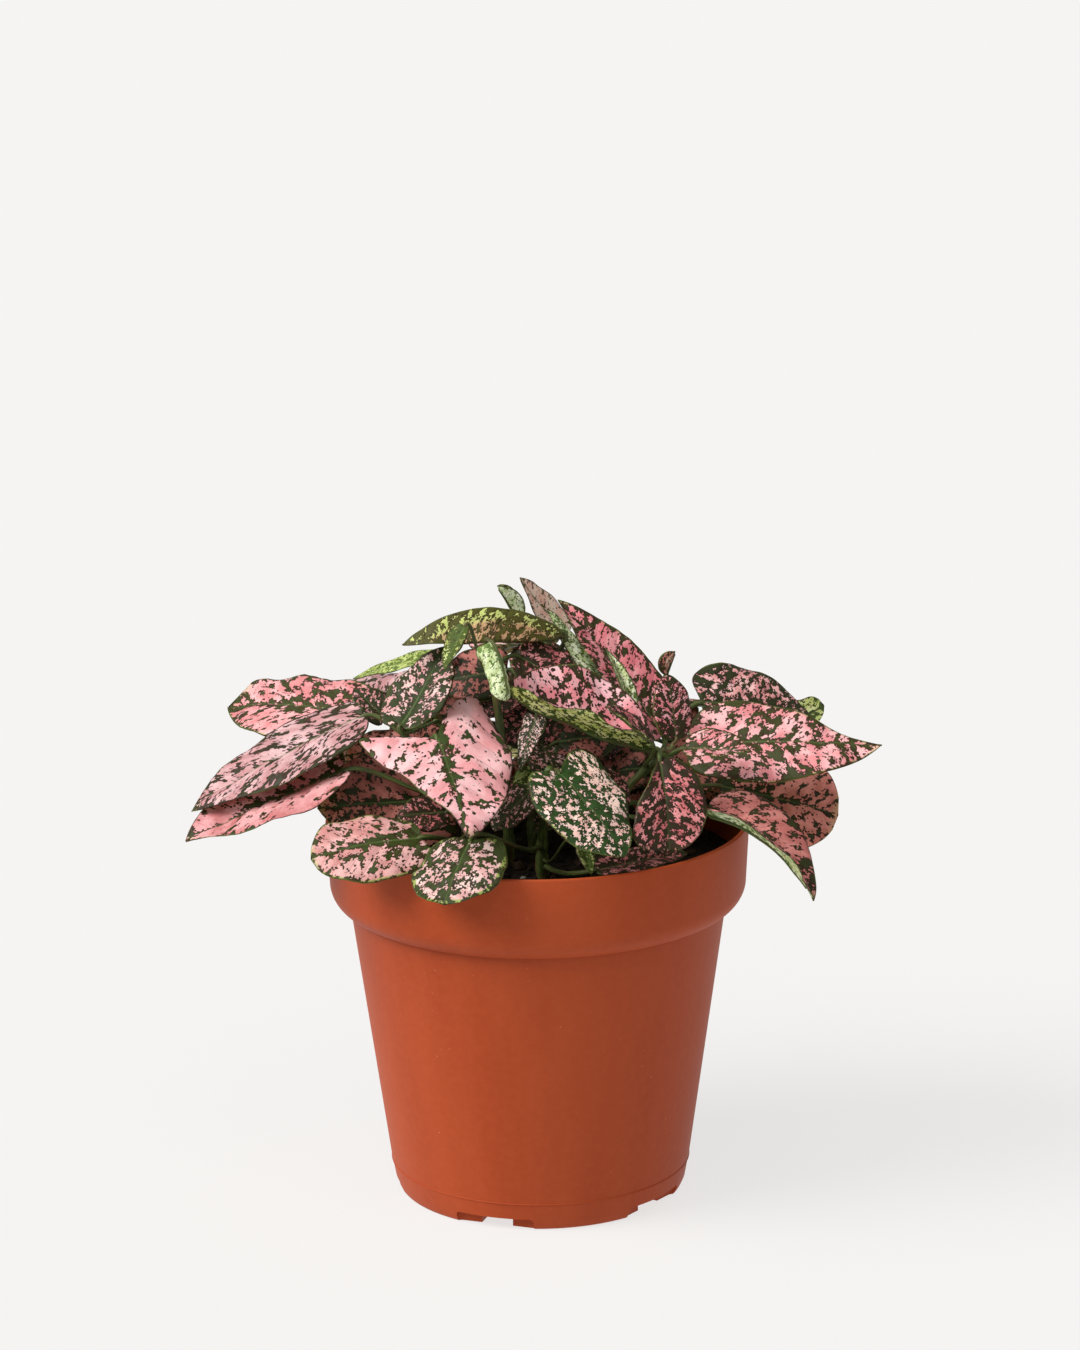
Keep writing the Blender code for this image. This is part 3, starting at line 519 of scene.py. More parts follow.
def leaf_material(name, look, is_under):
    """Dark blotches with ragged edges, drawn out along the side veins, on a two-toned ground.

    Reads three attributes, in millimetres: flow (along the side veins, across them, seed),
    place (part of the length, distance from the margin, distance from the midrib) and
    span (where the side vein there leaves the midrib, spacing of side veins, size of the pattern).
    """
    n = Nodes(name)
    along, across, seed = n.attribute("flow")
    part, margin, rib = n.attribute("place")
    start, spacing, size = n.attribute("span")
    grain = n.times(size, look.fine)
    streak = n.vector(n.times(n.times(along, grain), look.stretch), n.times(across, grain), seed)
    depth, spot, blotch, gather = leaf_blotches(n, look, streak, part, margin, rib)
    vein = n.step(n.math("PINGPONG", start, n.times(spacing, 0.5)), VEIN_HALF_WIDTH, 0.0)
    ground = leaf_ground(n, look, streak, part, margin, rib, vein)

    heart = n.times(n.step(depth, 0.02, 0.09), 0.85)
    colour = n.blend(spot, ground, n.blend(heart, linear(look.dark), linear(look.green)))
    rib_line = n.times(n.step(rib, *RIB_LINE_HALF_WIDTHS), n.minus(0.6, n.times(part, 0.5)))
    colour = n.blend(rib_line, colour, linear(RIB_GREEN))
    edge = n.times(n.step(n.plus(margin, n.times(blotch, 0.4)), *EDGE_WIDTHS), 0.9)
    edge_colour = n.blend(n.step(gather, 0.45, 0.6), linear(EDGE_BROWN), linear(EDGE_GREEN))
    colour = n.blend(edge, colour, edge_colour)

    pores = n.noise(streak, PORE_SCALE)
    height = n.plus(n.times(vein, 0.5 if is_under else -0.5), n.times(pores, 0.35))
    n.bump(n.plus(height, n.times(spot, -0.15)), distance=0.00012)
    roughness = n.plus(0.6 if is_under else 0.46, n.times(pores, 0.12))
    n.shader.inputs["Subsurface Weight"].default_value = 0.18
    n.shader.inputs["Subsurface Radius"].default_value = (1.0, 0.5, 0.35)
    n.shader.inputs["Subsurface Scale"].default_value = 0.001
    return n.surface(colour, roughness, specular=0.22)


def petiole_material(name):
    """Pale green with darker lengthwise streaks and a pink flush."""
    n = Nodes(name)
    along, around, seed = n.attribute("flow")
    streaks = n.noise(n.vector(n.times(along, 0.25), n.times(around, 3.0), seed), 1.0)
    flush = n.noise(n.vector(n.times(along, 0.12), around, seed), 1.0, 1.0)
    green = n.blend(n.step(streaks, 0.35, 0.65), linear((54, 68, 30)), linear((92, 108, 52)))
    colour = n.blend(n.times(n.step(flush, 0.5, 0.7), 0.55), green, linear((120, 70, 54)))
    n.bump(streaks, distance=0.0001)
    return n.surface(colour, roughness=0.45, specular=0.4)


def pot_material():
    """Moulded terracotta-coloured plastic: faint flow marks, fine grain, dust and small scuffs."""
    n = Nodes("moulded_terracotta_plastic")
    place = n.object_place()
    flow = n.add("Mapping", Vector=place, Scale=(60, 60, 9)).outputs[0]
    clouds = n.noise(flow, 1.0, 3.0, 0.55)
    grain = n.noise(place, 2600.0, 2.0, 0.6)
    dust = n.noise(place, 500.0, 3.0, 0.6)
    colour = n.blend(n.step(clouds, 0.3, 0.7), linear((160, 64, 28)), linear((168, 71, 34)))
    colour = n.blend(n.times(n.step(dust, 0.35, 0.7), 0.12), colour, linear((190, 88, 50)))
    rare = n.step(n.noise(place, 55.0, 1.0), 0.55, 0.75)
    scuff = n.times(n.step(n.cells(place, 420.0, "Distance"), 0.12, 0.05), rare)
    colour = n.blend(n.times(scuff, 0.5), colour, linear((206, 128, 92)))
    n.bump(n.plus(n.times(grain, 0.4), dust), distance=0.00005)
    return n.surface(colour, roughness=n.plus(0.44, n.times(clouds, 0.18)), specular=0.16)


def soil_material():
    """Moist peat: nearly black, with brown crumbs and drier patches."""
    n = Nodes("moist_potting_mix")
    place = n.object_place()
    crumbs = n.noise(place, 420.0, 4.0, 0.65)
    dry = n.step(n.noise(place, 90.0), 0.5, 0.7)
    colour = n.blend(n.step(crumbs, 0.4, 0.68), linear((16, 12, 10)), linear((48, 34, 25)))
    colour = n.blend(n.times(dry, 0.4), colour, linear((36, 26, 20)))
    n.bump(crumbs, distance=0.0006)
    return n.surface(colour, roughness=0.9, specular=0.25)


def crumb_material(name, colour, roughness):
    """One mottled colour."""
    n = Nodes(name)
    mottle = n.noise(n.object_place(), 900.0)
    dark = tuple(c * 0.72 for c in colour)
    n.bump(mottle, distance=0.0001)
    return n.surface(n.blend(mottle, linear(dark), linear(colour)), roughness, specular=0.3)


# ---------------------------------------------------------------- stems and leaves


def add_object(name, data):
    """A new object in the scene."""
    made = bpy.data.objects.new(name, data)
    bpy.context.scene.collection.objects.link(made)
    return made


def new_mesh(name, points, faces, edges=()):
    """A mesh from its points and the faces or edges between them."""
    mesh = bpy.data.meshes.new(name)
    mesh.from_pydata(points, edges, faces)
    return mesh


def add_vectors(mesh, name, domain, values):
    """Stores one vector for each point or corner of a mesh."""
    made = mesh.attributes.new(name, "FLOAT_VECTOR", domain)
    made.data.foreach_set("vector", values.astype(np.float32).ravel())


def stem_by_name(name):
    return next(stem for stem in STEMS if stem.name == name)


def stem_point(stem, at):
    """A point on the stem's centre line, from the soil (0) to its tip (1)."""
    foot = np.array((stem.foot[0] * MM, stem.foot[1] * MM, STEM_FOOT_HEIGHT))
    top = np.array(stem.top) * MM
    knee = foot + np.array((0, 0, STEM_KNEE * (top[2] - foot[2])))
    return (1 - at) ** 2 * foot + 2 * at * (1 - at) * knee + at ** 2 * top


def blade_axes(leaf):
    """Unit vectors along the blade, to its right and out of its upper face."""
    azimuth, rise, roll = (math.radians(a) for a in (leaf.azimuth, leaf.rise, leaf.roll))
    along = np.array(
        (math.cos(rise) * math.cos(azimuth), math.cos(rise) * math.sin(azimuth), math.sin(rise))
    )
    level = np.array((math.sin(azimuth), -math.cos(azimuth), 0))
    upper = np.cross(level, along)
    right = level * math.cos(roll) + upper * math.sin(roll)
    out = upper * math.cos(roll) - level * math.sin(roll)
    return along, right, out


def bend_angle(degrees):
    """A bend in radians, never so small that its arc has no radius."""
    return math.radians(degrees if abs(degrees) > 1 else 1)


def midrib(leaf, u):
    """The midrib's point, its direction and the blade's outward direction at each u (0 to 1)."""
    along, _, out = blade_axes(leaf)
    bow = bend_angle(leaf.bow)
    radius = leaf.length * MM / (2 * math.sin(bow / 2))
    slope = (bow / 2 - bow * u)[..., None]
    reach = radius * (math.sin(bow / 2) - np.sin(slope))
    height = radius * (np.cos(slope) - math.cos(bow / 2))
    point = np.array(leaf.base) * MM + along * reach + out * height
    heading = along * np.cos(slope) + out * np.sin(slope)
    facing = out * np.cos(slope) - along * np.sin(slope)
    return point, heading, facing


def half_shape(leaf, v):
    """The peak, taper and lobe at each v: the two halves of a blade may differ."""
    right = (leaf.peak, leaf.taper, leaf.lobe)
    lefts = LEFT_SHAPES.get(leaf.name, right)
    return [np.where(v < 0, left, own) for left, own in zip(lefts, right)]


def half_width(leaf, u, v):
    """Half the blade's width at each u, in metres: an egg shape with a drawn-out tip."""
    peak, taper, _ = half_shape(leaf, v)
    rounding = taper * peak / (1 - peak)
    outline = u ** rounding * (1 - u) ** taper
    widest = peak ** rounding * (1 - peak) ** taper
    half = leaf.width * MM / 2 * outline / widest
    return np.maximum(half, np.where(u < 0.5, BASE_HALF_WIDTH * MM, TIP_HALF_WIDTH * MM))


def blade_points(leaf, u, v, half):
    """Points of the blade's middle surface: u from base to tip, v from the left edge to the right."""
    _, right, _ = blade_axes(leaf)
    point, heading, facing = midrib(leaf, u)
    _, _, lobe = half_shape(leaf, v)
    fold = math.radians(leaf.fold)
    bend = bend_angle(leaf.curl) / (leaf.width * MM / 2)
    lifted = fold + bend * np.abs(v) * half
    aside = np.sign(v) * (np.sin(lifted) - math.sin(fold)) / bend
    lift = (math.cos(fold) - np.cos(lifted)) / bend
    reach = v ** 2
    if leaf.name in ROUND_LOBED:
        reach = np.where(v < 0, np.sin(math.pi / 2 * np.abs(v)), np.abs(v))
    back = lobe * half * (1 - u) ** LOBE_FADE * reach * np.sign(u)
    return point + right * aside[..., None] + facing * lift[..., None] - heading * back[..., None]


def ramp(x):
    """x, but never below 0 nor above 1."""
    return np.clip(x, 0, 1)


def smooth_noise(x, y, seed):
    """A smooth random height from -1 to 1 at each point of two equal arrays."""
    flat = [noise.noise(Vector((a, b, seed))) for a, b in zip(x.ravel(), y.ravel())]
    return np.array(flat).reshape(x.shape)


def vein_coordinates(leaf, u, v, half):
    """Distances in mm: from the base, from the midrib, and where the side vein there leaves it."""
    along = u * leaf.length
    aside = np.abs(v) * half * TO_MM
    start = along - VEIN_SLANT * aside - VEIN_SWEEP * aside ** 2 / leaf.width
    return along, aside, start


def relief(leaf, u, v, half, seed):
    """How far the blade's surface stands out of its smooth form, in mm."""
    along, aside, start = vein_coordinates(leaf, u, v, half)
    margin = (1 - np.abs(v)) * half * TO_MM
    scale = min(1, leaf.width / FULL_RELIEF_WIDTH)
    groove = -GROOVE_DEPTH * np.exp(-(aside / GROOVE_HALF_WIDTH) ** 2) * (1 - u)
    spacing = leaf.length / VEIN_PAIRS
    pillow = np.abs(np.sin(math.pi * start / spacing)) ** QUILT_FULLNESS - QUILT_LEVEL
    shown = ramp(aside / QUILT_RIB_EASE) * ramp(margin / QUILT_MARGIN_EASE) * ramp((1 - u) * QUILT_TIP_RATE)
    quilt = QUILT_HEIGHT * scale * pillow * shown
    phase = seed * WAVE_SEED_STEP + np.where(v < 0, *WAVE_PHASES)
    turns = along / (leaf.length / MARGIN_WAVES)
    wave = MARGIN_WAVE_SHARE * leaf.width * np.sin(math.tau * turns + phase) * np.abs(v) ** 3
    across = v * half * TO_MM
    slow = SLOW_HEIGHT * smooth_noise(along / SLOW_LENGTH, across / SLOW_LENGTH, seed)
    quick = QUICK_HEIGHT * smooth_noise(along / QUICK_LENGTH, across / QUICK_LENGTH, seed + QUICK_SEED)
    return groove + quilt + wave + scale * (slow + quick)


def tube(points, radii, sides):
    """A closed tube's points, faces and, for each point, its place along it and round it."""
    points = np.array(points)
    ahead = np.gradient(points, axis=0)
    ahead /= np.linalg.norm(ahead, axis=1)[:, None]
    side = np.cross(ahead[0], (0, 0, 1) if abs(ahead[0][2]) < 0.9 else (1, 0, 0))
    vertices = []
    for point, direction, radius in zip(points, ahead, radii):
        side = side - direction * np.dot(side, direction)
        side /= np.linalg.norm(side)
        other = np.cross(direction, side)
        for k in range(sides):
            angle = math.tau * k / sides
            vertices.append(point + radius * (side * math.cos(angle) + other * math.sin(angle)))
    faces = []
    for ring in range(len(points) - 1):
        for k in range(sides):
            a = ring * sides + k
            b = ring * sides + (k + 1) % sides
            faces.append((a, b, b + sides, a + sides))
    last = (len(points) - 1) * sides
    faces.append(tuple(range(sides))[::-1])
    faces.append(tuple(range(last, last + sides)))
    lengths = np.concatenate([[0], np.cumsum(np.linalg.norm(np.diff(points, axis=0), axis=1))])
    along = np.repeat(lengths * TO_MM, sides)
    around = np.tile(np.arange(sides) / sides * math.tau, len(points))
    return np.array(vertices), faces, along, around


def petiole_line(leaf):
    """The petiole's centre line, from inside its stem to the blade's base."""
    stem = stem_by_name(leaf.stem)
    node = stem_point(stem, leaf.at)
    stem_along = stem_point(stem, leaf.at + 0.01) - stem_point(stem, leaf.at - 0.01)
    stem_along /= np.linalg.norm(stem_along)
    base, heading, _ = midrib(leaf, np.zeros(1))
    end = base[0]
    outward = end - node
    outward = outward - stem_along * np.dot(outward, stem_along)
    outward = outward / np.linalg.norm(outward)
    start = node + outward * STEM_RADIUS
    ease = PETIOLE_EASE * np.linalg.norm(end - start)
    leave = start + outward * ease
    arrive = end - heading[0] * ease
    t = np.linspace(0, 1, PETIOLE_POINTS)[:, None]
    line = (
        (1 - t) ** 3 * start
        + 3 * t * (1 - t) ** 2 * leave
        + 3 * t ** 2 * (1 - t) * arrive
        + t ** 3 * end
    )
    return np.vstack([node + outward * STEM_RADIUS * PETIOLE_ROOT, line])


def rib_line(leaf, seed):
    """The midrib's centre line along the lower face, and its radius at each point."""
    u = np.linspace(RIB_START, RIB_END, RIB_POINTS)
    point, _, facing = midrib(leaf, u)
    v = np.zeros(len(u))
    height = relief(leaf, u, v, half_width(leaf, u, v), seed) * MM
    size = min(1, (leaf.length / FULL_RIB_LENGTH) ** 0.5)
    radius = size * (PETIOLE_RADIUS * (1 - u) + RIB_END_RADIUS * u) * MM
    sunk = height - LEAF_THICKNESS * MM / 2 - radius * RIB_SUNK
    return point + facing * sunk[:, None], radius


def blade_grid(leaf, cell):
    """Each point's u (from base to tip) and v (from the left edge to the right) on a blade."""
    rows = max(LEAST_ROWS, round(leaf.length / cell))
    columns = max(LEAST_COLUMNS, 2 * round(leaf.width / cell / 2))
    t = np.linspace(0, 1, rows + 1)
    w = np.linspace(-1, 1, columns + 1)
    u, v = np.meshgrid(t ** BASE_CROWDING, np.sign(w) * np.abs(w) ** RIB_CROWDING, indexing="ij")
    if leaf.name in ROUND_LOBED:
        u = ROUND_START + (1 - ROUND_START) * u
    return u, v


def blade_sheets(leaf, u, v, half, seed):
    """The blade's upper and lower face, which meet at the rounded margin."""
    middle = blade_points(leaf, u, v, half)
    normal = np.cross(np.gradient(middle, axis=1), np.gradient(middle, axis=0))
    normal /= np.maximum(np.linalg.norm(normal, axis=2), 1e-12)[..., None]
    middle = middle + normal * (relief(leaf, u, v, half, seed) * MM)[..., None]
    ends = ramp(u * BASE_THINNING) * ramp((1 - u) * TIP_THINNING)
    size = min(1, (leaf.width / FULL_THICKNESS_WIDTH) ** 0.5)
    profile = np.sqrt(ramp(1 - np.abs(v) ** MARGIN_SQUARENESS) * ends)
    thick = LEAF_THICKNESS * size * MM / 2 * profile
    return middle + normal * thick[..., None], middle - normal * thick[..., None]


def sheet_faces(rows, columns, top, bottom):
    """Quads over two sheets of points that share their outer points; materials 0 above, 1 below."""
    above, below = [], []
    for i in range(rows):
        for j in range(columns):
            above.append((top[i][j], top[i][j + 1], top[i + 1][j + 1], top[i + 1][j]))
            below.append((bottom[i][j], bottom[i + 1][j], bottom[i + 1][j + 1], bottom[i][j + 1]))
    return above + below, [0] * len(above) + [1] * len(below)


def blade_pattern(leaf, u, v, half, seed, cell):
    """The blade's flow, place and span at each point, as leaf_material reads them."""
    along, aside, start = vein_coordinates(leaf, u, v, half)
    margin = np.minimum((1 - np.abs(v)) * half * TO_MM, (1 - u) * leaf.length)
    if leaf.name in ROUND_LOBED:
        from_start = np.arange(len(u))[:, None] * cell
        margin = np.where(np.abs(v) > ROUND_MARGIN_FROM, np.minimum(margin, from_start), margin)
    grain = min(LARGEST_GRAIN, max(LEAST_GRAIN, (MIDDLING_WIDTH / leaf.width) ** 0.5))
    rise = math.radians(STEEP_VEIN_RISE.get(leaf.name, VEIN_RISE))
    by_vein = aside * math.cos(rise) + along * math.sin(rise)
    over_veins = along * math.cos(rise) - aside * math.sin(rise)
    flow = np.stack([by_vein, over_veins, np.full(u.shape, seed * PATTERN_SEED_STEP)], -1)
    place = np.stack([u, margin, aside], -1)
    spacing = np.full(u.shape, leaf.length / VEIN_PAIRS)
    return flow, place, np.stack([start, spacing, np.full(u.shape, grain)], -1)


def make_leaf(leaf, name, seed, materials, cell=LEAF_CELL):
    """One leaf: a blade with relief and rounded margins, and its petiole and midrib as a tube."""
    u, v = blade_grid(leaf, cell)
    rows, columns = u.shape[0] - 1, u.shape[1] - 1
    ragged = smooth_noise(u * leaf.length / RAGGED_LENGTH, np.sign(v) * 5, seed + RAGGED_SEED)
    half = half_width(leaf, u, v) * (1 + RAGGED_SHARE * ragged)
    upper, lower = blade_sheets(leaf, u, v, half, seed)
    inner = np.zeros(u.shape, bool)
    inner[1:-1, 1:-1] = True
    top = np.arange(u.size).reshape(u.shape)
    bottom = top.copy()
    bottom[inner] = u.size + np.arange(inner.sum())
    faces, slots = sheet_faces(rows, columns, top.tolist(), bottom.tolist())
    left_face = np.tile(np.arange(columns) < columns // 2, 2 * rows)
    if leaf.name in LEFT_LOOKS:
        slots = np.where(left_face & (np.array(slots) == 0), 3, slots).tolist()
    vertices = np.vstack([upper.reshape(-1, 3), lower[inner]])
    pattern = [
        np.vstack([values.reshape(-1, 3), values[inner]])
        for values in blade_pattern(leaf, u, v, half, seed, cell)
    ]

    petiole = petiole_line(leaf)
    rib, rib_radius = rib_line(leaf, seed)
    flare = 1 + PETIOLE_FLARE * np.exp(-np.arange(len(petiole)) / PETIOLE_FLARE_POINTS)
    radii = np.concatenate([rib_radius[0] * flare, rib_radius])
    stalk, stalk_faces, length, around = tube(np.vstack([petiole, rib]), radii, STALK_SIDES)
    offset = len(vertices)
    vertices = np.vstack([vertices, stalk])
    faces += [tuple(i + offset for i in face) for face in stalk_faces]
    slots += [2] * len(stalk_faces)
    left_face = np.concatenate([left_face, np.zeros(len(stalk_faces), bool)])
    stalk_flow = np.stack([length, around, np.full(len(length), seed)], -1)
    stalk_pattern = (stalk_flow, np.zeros_like(stalk_flow), np.ones_like(stalk_flow))

    mesh = new_mesh(name, vertices.tolist(), faces)
    corner = np.concatenate([np.array(face) for face in faces])
    on_left = np.repeat(left_face, [len(face) for face in faces])
    flow, place, span = (np.vstack(both)[corner] for both in zip(pattern, stalk_pattern))
    flow[on_left] = flow[on_left] * (-1, 1, 1) + (0, 0, LEFT_SEED)
    for attribute, values in (("flow", flow), ("place", place), ("span", span)):
        add_vectors(mesh, attribute, "CORNER", values)
    for surface in materials:
        mesh.materials.append(surface)
    mesh.polygons.foreach_set("material_index", slots)
    mesh.shade_smooth()
    mesh.update()
    return add_object(name, mesh)


def inner_leaves():
    """Small shaded leaves in opposite pairs on the inner shoots, each pair across the one below."""
    rng = random.Random(INNER_SEED)
    made = []
    for stem_name, first in INNER_SHOOTS:
        stem = stem_by_name(stem_name)
        for step, at in enumerate(INNER_NODES):
            node = stem_point(stem, at) * TO_MM
            for side in (0, 180):
                azimuth = first + 90 * step + side + rng.uniform(-15, 15)
                turn = math.radians(azimuth)
                base = tuple(node + INNER_STALK * np.array((math.cos(turn), math.sin(turn), 0.6)))
                length = rng.uniform(*INNER_LENGTHS)
                look = rng.choice(INNER_LOOKS)
                made.append(Leaf(
                    "", stem_name, at, base, azimuth, rng.uniform(-25, 5), rng.uniform(-15, 15),
                    length, length * INNER_WIDTH_SHARE, *INNER_SHAPE, look,
                ))
    return made


def make_stem(stem, name, material):
    """A slender shoot, a little swollen where each petiole leaves it."""
    at = np.linspace(0, 1, STEM_RINGS)
    points = np.array([stem_point(stem, a) for a in at])
    joints = sorted({leaf.at for leaf in LEAVES if leaf.stem == stem.name} | set(BARE_JOINTS))
    swell = sum(np.exp(-((at - joint) / JOINT_REACH) ** 2) for joint in joints)
    radius = STEM_RADIUS * (1 + (STEM_TIP_SCALE - 1) * at) * (1 + JOINT_SWELL * np.minimum(swell, 1))
    root = points[0] - np.array((0, 0, STEM_ROOT_DEPTH))
    points = np.vstack([root, points])
    radius = np.concatenate([[radius[0] * STEM_FOOT_SCALE], radius])
    vertices, faces, along, around = tube(points, radius, STEM_SIDES)
    mesh = new_mesh(name, vertices.tolist(), faces)
    seed = np.full(len(along), float(stem.name[-1]) * STEM_SEED_STEP)
    add_vectors(mesh, "flow", "POINT", np.stack([along, around, seed], -1))
    mesh.materials.append(material)
    mesh.shade_smooth()
    return add_object(name, mesh)


# ---------------------------------------------------------------- pot and soil

# The pot (m): its lip, band, step, seam, corner and foot from the top down, then its floor, and the
# notches and drain holes cut into it
POT_HEIGHT = 0.095
RIM_RADIUS = 0.0523
RIM_FOOT_RADIUS = 0.0515
LIP_ROUND = 0.0005
LIP_POINTS = 5
WALL = 0.0011
BAND_ARC_RADIUS = 0.0060
BAND_ARC_HEIGHT = 0.0795
BAND_ARC_END = 80
BAND_ARC_POINTS = 14
STEP_RADIUS = 0.0465
STEP_HEIGHT = 0.0733
STEP_EASE = 0.0006
SEAM_RADIUS = 0.0373
SEAM_HEIGHT = 0.0072
SEAM_PROUD = 0.00012
SEAM_HALF = 0.00016
SEAM_FLAT = 0.4
SEAM_UNDERCUT = 0.0001
CORNER_RADIUS = 0.0363
CORNER_HEIGHT = 0.0022
FOOT_RADIUS = 0.0349
FOOT_ROUND = 0.0011
FOOT_ROUND_INSET = 0.0003
FOOT_ROUND_POINTS = 6
FOOT_INNER_RADIUS = 0.0295
SKIRT_INNER_RADIUS = 0.0330
FLOOR_UNDERSIDE = 0.0032
FLOOR_TOP = 0.0044
FLOOR_CORNER_RADIUS = 0.0348
POT_STEPS = 192
NOTCH_COUNT = 5
NOTCH_FIRST_AZIMUTH = math.radians(-109)
NOTCH_WIDTH = 0.0200
NOTCH_GAP_WIDTH = 0.0080
NOTCH_HEIGHT = 0.0030
NOTCH_ROUND = 0.0009
DRAIN_HOLE_RADIUS = 0.0040
DRAIN_HOLE_CIRCLE = 0.0190
CUTTER_SPARE = 0.0020

# The soil (m), and how fine (per m) and how high its two sizes of lumps are
SOIL_EDGE_RADIUS = 0.0501
SOIL_EDGE_HEIGHT = 0.0832
SOIL_TOP_HEIGHT = 0.0850
SOIL_UNDERSIDE_RADIUS = 0.044
SOIL_UNDERSIDE_HEIGHT = 0.073
SOIL_RINGS = 70
SOIL_SIDES = 220
LUMP_SCALE, LUMP_HEIGHT = 90, 0.0013
CRUMB_SCALE, CRUMB_HEIGHT = 380, 0.0006

Crumb = namedtuple("Crumb", "name count small large roundness colour roughness")
# Loose bits on the soil. small, large: the least and the largest radius (m)
CRUMBS = (
    Crumb("peat_crumb", 430, 0.0005, 0.0013, 1, (34, 24, 19), 0.9),
    Crumb("bark_chip", 90, 0.0009, 0.0022, 2, (66, 46, 32), 0.8),
    Crumb("perlite", 14, 0.0005, 0.0010, 2, (226, 222, 212), 0.85),
)
CRUMB_EDGE_SPARE = 0.001
CRUMB_RISE = 0.15
CRUMB_ROUGH_SCALE, CRUMB_ROUGH_SHARE = 900, 0.35


def arc(centre, radius, first, last, count):
    """Points of an arc in the profile plane, by angle from the outward direction, in degrees."""
    angles = np.radians(np.linspace(first, last, count))
    return [(centre[0] + radius * math.cos(a), centre[1] + radius * math.sin(a)) for a in angles]


def pot_profile():
    """The pot's section from its inner floor, up the inside, over the lip and down to the foot."""
    band = (RIM_FOOT_RADIUS - BAND_ARC_RADIUS, BAND_ARC_HEIGHT)
    lip_height = POT_HEIGHT - LIP_ROUND
    inner = [
        (0, FLOOR_TOP), (FLOOR_CORNER_RADIUS, FLOOR_TOP),
        (SEAM_RADIUS - WALL, SEAM_HEIGHT), (STEP_RADIUS - WALL, STEP_HEIGHT),
    ]
    inner += arc(band, BAND_ARC_RADIUS - WALL, -BAND_ARC_END, 0, BAND_ARC_POINTS)
    inner += arc((RIM_RADIUS - WALL + LIP_ROUND, lip_height), LIP_ROUND, 180, 100, LIP_POINTS)
    outer = arc((RIM_RADIUS - LIP_ROUND, lip_height), LIP_ROUND, 80, 0, LIP_POINTS)
    outer += arc(band, BAND_ARC_RADIUS, 0, -BAND_ARC_END, BAND_ARC_POINTS)
    outer += [
        (STEP_RADIUS + STEP_EASE * 0.1, STEP_HEIGHT + STEP_EASE * 0.2),
        (STEP_RADIUS - STEP_EASE / 15, STEP_HEIGHT - STEP_EASE),
        (SEAM_RADIUS, SEAM_HEIGHT + SEAM_HALF),
        (SEAM_RADIUS + SEAM_PROUD, SEAM_HEIGHT + SEAM_HALF * SEAM_FLAT),
        (SEAM_RADIUS + SEAM_PROUD, SEAM_HEIGHT - SEAM_HALF * SEAM_FLAT),
        (SEAM_RADIUS - SEAM_UNDERCUT, SEAM_HEIGHT - SEAM_HALF),
        (CORNER_RADIUS, CORNER_HEIGHT),
    ]
    outer += arc((FOOT_RADIUS - FOOT_ROUND_INSET, FOOT_ROUND), FOOT_ROUND, -20, -90, FOOT_ROUND_POINTS)
    foot = [(FOOT_INNER_RADIUS, 0), (FOOT_INNER_RADIUS, FLOOR_UNDERSIDE), (0, FLOOR_UNDERSIDE)]
    return inner + outer + foot


def turned(name, profile, steps):
    """A solid turned about Z from a profile of (radius, height) points."""
    points = [(radius, 0, height) for radius, height in profile]
    edges = [(i, i + 1) for i in range(len(points) - 1)]
    made = add_object(name, new_mesh(name, points, [], edges))
    screw = made.modifiers.new("turn", "SCREW")
    screw.steps = steps
    screw.render_steps = steps
    screw.use_merge_vertices = True
    screw.merge_threshold = 0.00002
    return made


def object_from(shape, name):
    """An object with a bmesh's shape."""
    mesh = bpy.data.meshes.new(name)
    shape.to_mesh(mesh)
    shape.free()
    return add_object(name, mesh)


def notch_cutter(name, inner_radius, width, azimuth):
    """A box with rounded edges that cuts outwards through the foot, turned about Z."""
    low = Vector((inner_radius, -width / 2, -CUTTER_SPARE))
    high = Vector((SEAM_RADIUS + CUTTER_SPARE, width / 2, NOTCH_HEIGHT))
    shape = bmesh.new()
    bmesh.ops.create_cube(shape, size=1)
    bmesh.ops.scale(shape, vec=high - low, verts=shape.verts)
    bmesh.ops.translate(shape, vec=(high + low) / 2, verts=shape.verts)
    bmesh.ops.bevel(
        shape, geom=shape.edges, offset=NOTCH_ROUND, segments=3, profile=0.5, affect="EDGES"
    )
    turn = Matrix.Rotation(azimuth, 3, "Z")
    bmesh.ops.rotate(shape, cent=(0, 0, 0), matrix=turn, verts=shape.verts)
    return object_from(shape, name)


def drain_cutter(name, azimuth):
    """A cylinder that cuts one drain hole through the floor."""
    shape = bmesh.new()
    bmesh.ops.create_cone(
        shape, cap_ends=True, segments=40, radius1=DRAIN_HOLE_RADIUS, radius2=DRAIN_HOLE_RADIUS,
        depth=0.01,
    )
    across = (math.cos(azimuth) * DRAIN_HOLE_CIRCLE, math.sin(azimuth) * DRAIN_HOLE_CIRCLE)
    bmesh.ops.translate(shape, vec=Vector((*across, FLOOR_TOP)), verts=shape.verts)
    return object_from(shape, name)


def settle(piece, crease_angle):
    """Applies a piece's modifiers and shades it smooth, with creases above an angle in degrees."""
    graph = bpy.context.evaluated_depsgraph_get()
    piece.data = bpy.data.meshes.new_from_object(piece.evaluated_get(graph))
    piece.modifiers.clear()
    piece.data.shade_smooth()
    piece.data.set_sharp_from_angle(angle=math.radians(crease_angle))


